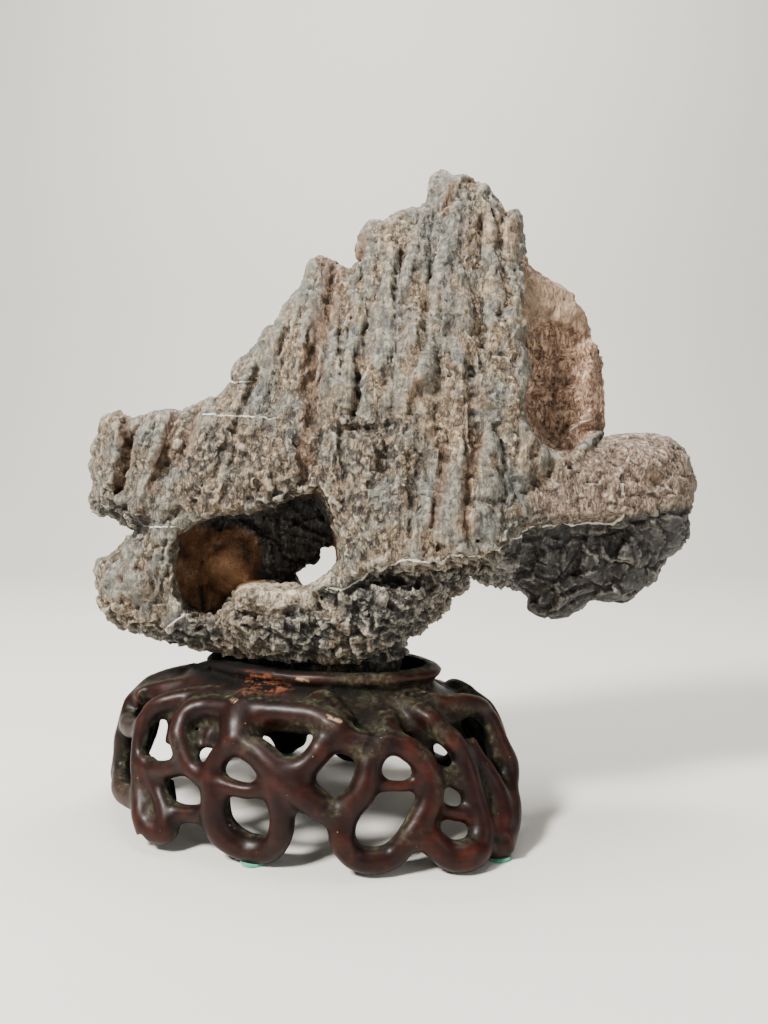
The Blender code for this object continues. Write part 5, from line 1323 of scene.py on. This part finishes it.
    hide = f.ramp(
        lumps * 0.45 + folds * 0.15 + grit * 0.25 + small * 0.2 + 0.06, (0.32, (0.095, 0.050, 0.032)),
        (0.46, (0.320, 0.195, 0.128)), (0.60, (0.58, 0.42, 0.29)),
    )
    hide = f.blend(facet * 0.85, hide, f.ramp(
        patch * 0.45 + grit * 0.25 + lumps * 0.3, (0.36, (0.095, 0.058, 0.037)), (0.5, (0.240, 0.160, 0.098)),
        (0.64, (0.41, 0.31, 0.20)),
    ))
    tone = f.blend(recess * 0.96, tone, hide)
    clay = f.ramp(
        patch * 0.7 + grit * 0.3, (0.34, (0.022, 0.011, 0.007)), (0.44, (0.120, 0.052, 0.021)),
        (0.55, (0.220, 0.106, 0.047)), (0.67, (0.37, 0.25, 0.15)),
    )
    # the cavern's roof is made almost lightless: painted shade inside the cavern
    clay = f.blend(roof * 0.97, clay, f.ramp(
        shade, (0.34, (0.003, 0.0032, 0.0034)), (0.5, (0.030, 0.0315, 0.032)), (0.64, (0.145, 0.147, 0.138))
    ))
    clay = f.blend(ledge * 0.95, clay, f.ramp(
        shade, (0.34, (0.24, 0.18, 0.115)), (0.5, (0.56, 0.47, 0.34)), (0.62, (0.74, 0.67, 0.54))
    ))
    tone = f.blend(cavern * 0.97, tone, clay)

    # painted shade in creases, pits and pebble gaps
    tone = f.blend(crease_shade * (1.0 - cavern * 0.8) * (1.0 - recess * 0.5), tone, (0.016, 0.013, 0.011))
    # painted shade on the low side of each seam between flakes and scallops
    tone = f.blend(chip * (1.0 - tip) * 0.8, tone, (0.007, 0.0065, 0.006))
    # painted shade in narrow creases
    crevice_shade = f.rise(proud, -0.08, -0.50) * 0.85 * (1.0 - ledge.most(stain * 0.6).most(recess * 0.6))
    tone = f.blend(crevice_shade, tone, (0.014, 0.011, 0.009))
    # painted shade in broad hollows
    hollow_shade = f.rise(hollow, -0.8, -3.5) * 0.35 * (1.0 - cavern.most(recess))
    tone = f.blend(hollow_shade, tone, (0.030, 0.022, 0.016))
    # painted shade in pits, grooves and under overhangs
    tone = f.blend(soot * f.rise(lumps + soot * 0.25, 0.45, 0.62) * 0.9, tone, (0.011, 0.011, 0.012))
    # painted highlight on the stone's crests
    crest_highlight = f.rise(proud, 0.15, 0.50) * (1.0 - under * 0.7) * (1.0 - recess) * (1.0 - cavern)
    crest_highlight = crest_highlight * (1.0 - raised * 0.7)
    tone = f.blend(crest_highlight * 0.6, tone, (0.50, 0.45, 0.355))
    line = f.rise(abs(f.stored("vein")) + (grit - 0.5) * 0.5, 0.48, 0.24)
    line = line * f.rise(f.stored("vein_near"), 0.5, 0.9) * (1.0 - cavern)
    line = line * f.rise(f.noise(5.0, 2, shift=1.0), 0.34, 0.42)
    tone = f.blend(line * 0.92, tone, f.ramp(grit, (0.3, (0.46, 0.42, 0.34)), (0.7, (0.74, 0.71, 0.62))))

    normal = f.bump(height + line * 0.4, 1.0, 0.0013)
    rough = 0.60 + grit * 0.25 - even * 0.08 - flakes * 0.14 - scallops * 0.26
    return f.done(Base_Color=tone, Roughness=rough, Normal=normal)


def rosewood():
    """Dark red-brown wood with olive-grey dust on inner faces and orange rubbed patches; painted shade
    darkens faces turned away from the outside and the inside, and painted highlights lighten its crests.
    """
    f = Finish("polished_rosewood", Specular_IOR_Level=0.13, Coat_Roughness=0.28)
    broad, middle = f.noise(26.0, 3), f.noise(7.0, 4, shift=2.0)
    small, grit = f.noise(1.9, 4, 0.6), f.noise(0.7, 3, 0.7)
    grain = f.noise(1.3, 5, 0.65, stretch=(14, 3, 1), shift=4.0, bend=0.6)
    inward, proud, hollow, outer, up = (f.stored(n) for n in ("inward", "proud", "hollow", "outer", "up"))
    wood = f.ramp(
        broad * 0.4 + grain * 0.22 + middle * 0.38, (0.34, (0.0026, 0.0008, 0.0006)),
        (0.5, (0.0095, 0.0018, 0.0011)), (0.60, (0.024, 0.0042, 0.0021)), (0.74, (0.060, 0.0130, 0.0056)),
    )
    # painted shade: the inside of the drum and inward-facing faces are made almost lightless
    inside_shade = f.rise(inward + middle * 3.0, 3.5, 9.0).most(f.rise(outer, -0.05, -0.45))
    side = f.rise(outer + middle * 0.4 - up * 0.12, 0.62, 0.20) * f.rise(middle + small * 0.4, 0.48, 0.74)
    dusty = side.most(f.rise(hollow + middle * 0.6 + small * 0.3, 0.50, -0.7) * 0.9)
    dusty = dusty.most(f.stored("green") * f.rise(middle + small * 0.3, 0.40, 0.70)).least(1.0)
    # painted shade: faces turned away from the outside, the sides of the holes, go toward the wood's darkest
    # brown
    turned = f.rise(outer + middle * 0.25, 0.95, 0.30) * 0.8
    dust = f.ramp(
        middle * 0.4 + small * 0.6, (0.34, (0.0040, 0.0034, 0.0022)), (0.48, (0.0170, 0.0155, 0.0095)),
        (0.58, (0.046, 0.047, 0.028)), (0.72, (0.125, 0.130, 0.085)),
    )
    tone = f.blend(turned, wood, (0.0024, 0.0012, 0.0009))
    tone = f.blend(dusty * 0.85, tone, dust)
    tone = f.blend(inside_shade * 0.9, tone, (0.0012, 0.0009, 0.0008))
    # painted highlight on the wood's crests
    crest_highlight = f.rise(proud + small * 0.12, 0.10, 0.45) * (1.0 - inside_shade)
    tone = f.blend(crest_highlight * 0.30, tone, (0.12, 0.032, 0.015))
    worn = f.stored("rubbed") * f.rise(grain * 0.7 + small * 0.3, 0.46, 0.56)
    orange = f.ramp(small, (0.35, (0.065, 0.018, 0.009)), (0.65, (0.19, 0.064, 0.030)))
    tone = f.blend(worn * 0.85, tone, orange)
    specks = f.rise(f.cells(3.4) + small * 0.2, 0.20, 0.13) * f.rise(f.noise(12.0, 2, shift=8.0), 0.5, 0.6)
    specks = (specks * 0.4 * (1.0 - inside_shade)).most(f.stored("chipped") * f.rise(small, 0.38, 0.50) * 0.9)
    tone = f.blend(specks, tone, (0.42, 0.29, 0.16))
    height = grain * 0.3 + small * 0.35 + grit * 0.15
    normal = f.bump(height, 0.45, 0.00045)
    matte = (dusty * 0.8 + inside_shade * 0.6 + worn * 0.5).least(1.0)
    rough = 0.38 + small * 0.16 + matte * 0.45
    coat = 0.10 - matte * 0.13
    return f.done(Base_Color=tone, Roughness=rough, Coat_Weight=coat.most(0.0), Normal=normal)


def felt():
    """Green felt: matted fibres, lighter where the fibre and mat noise that raise its bump are high, with a
    little grey dust.
    """
    f = Finish("green_felt", Roughness=0.95, Specular_IOR_Level=0.15, Sheen_Weight=0.5, Sheen_Roughness=0.6)
    mat, fibre = f.noise(1.6, 4, 0.7), f.noise(0.35, 4, 0.8, stretch=(3, 1, 1), bend=2.0)
    tone = f.ramp(
        mat * 0.5 + fibre * 0.5, (0.28, (0.003, 0.085, 0.045)), (0.5, (0.010, 0.27, 0.155)),
        (0.74, (0.07, 0.52, 0.34)),
    )
    tone = f.blend(f.rise(f.noise(3.0, 2, shift=6.0), 0.56, 0.75) * 0.3, tone, (0.20, 0.26, 0.20))
    return f.done(Base_Color=tone, Normal=f.bump(fibre + mat * 0.6, 0.8, 0.0003))


def plain(name, colour, rough):
    f = Finish(name, Base_Color=(*colour, 1.0), Specular_IOR_Level=0.2)
    return f.done(Roughness=rough + (f.noise(60.0, 2) - 0.5) * 0.05)


# ---- the scene -----------------------------------------------------------------------------------
def dress(piece, finish, slot, *nodes):
    """Give a piece its finish and let it stand for its nodes; the slot is not used."""
    piece.data.materials.clear()
    piece.data.materials.append(finish)
    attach(piece, "root")
    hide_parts(*nodes)


def camera():
    lens = bpy.data.cameras.new("camera")
    lens.sensor_width, lens.sensor_fit, lens.lens = SENSOR, "AUTO", LENS
    lens.clip_start = 0.01
    eye = bpy.data.objects.new("camera", lens)
    eye.location = (SHIFT[0] * MM, (SHIFT[1] - EYE_Y) * MM, EYE_Z * MM)
    eye.rotation_euler = (math.radians(90.0 - PITCH), 0.0, 0.0)
    bpy.context.scene.collection.objects.link(eye)
    bpy.context.scene.camera = eye


def lamp(name, place, target, width, height, watts, colour=(1, 1, 1)):
    """A soft rectangular lamp at a place, facing a target."""
    light = bpy.data.lights.new(name, "AREA")
    light.shape, light.size, light.size_y = "RECTANGLE", width, height
    light.energy, light.color = watts, colour
    made = bpy.data.objects.new(name, light)
    back = np.array(place, float) - np.array(target, float)
    back /= np.linalg.norm(back)
    turn = math.atan2(back[0], -back[1])
    made.location = place
    made.rotation_euler = (math.acos(back[2]), 0.0, turn)
    bpy.context.scene.collection.objects.link(made)


def studio():
    """A pale floor that sweeps up into a wall behind, under a pale sky, with soft lamps."""
    world = bpy.data.worlds.new("studio")
    world.use_nodes = True
    sky = world.node_tree.nodes["Background"]
    sky.inputs["Color"].default_value = (1.0, 0.985, 0.96, 1.0)
    sky.inputs["Strength"].default_value = 0.24
    bpy.context.scene.world = world
    turn = np.radians(np.linspace(0.0, 90.0, 25))
    depth = np.concatenate([[-3.0, 0.5], 0.9 + 0.6 * np.sin(turn), [1.5]])
    height = np.concatenate([[0.0, 0.0], 0.6 - 0.6 * np.cos(turn), [3.2]])
    grid = np.stack([np.stack([np.full_like(depth, side), depth, height], axis=1) for side in (-3.5, 3.5)])
    n = len(depth)
    row = np.arange(n - 1)
    mesh = bpy.data.meshes.new("floor_and_wall")
    quads = np.stack([row, n + row, n + row + 1, row + 1], axis=1)
    mesh.from_pydata(grid.reshape(-1, 3).tolist(), [], quads.tolist())
    mesh.shade_smooth()
    sweep = new_piece("floor_and_wall", mesh)
    sweep.data.materials.append(plain("pale_floor", (0.66, 0.64, 0.60), 0.6))
    middle = (0.0, 0.0, 0.13)
    lamp("key", (-0.75, -0.65, 1.05), middle, 0.26, 0.26, 58.0, (1.0, 0.965, 0.91))
    lamp("fill", (1.0, -0.9, 0.5), middle, 0.8, 0.6, 4.5, (0.97, 0.98, 1.0))
    lamp("top", (0.1, 0.15, 1.2), middle, 0.6, 0.6, 12.0)
    lamp("wall", (0.0, 0.5, 1.6), (0.0, 1.5, 0.6), 1.6, 0.4, 30.0, (1.0, 0.985, 0.95))


camera()
studio()
rock = build_rock()
dress(rock, limestone(), "limestone", "rock")
stand = build_stand()
dress(stand, rosewood(), "rosewood", "stand")
green = felt()
for side in ("front", "right", "back", "left"):
    node = "felt_pad_" + side
    dress(felt_disc("felt_" + side, node), green, "felt", node)
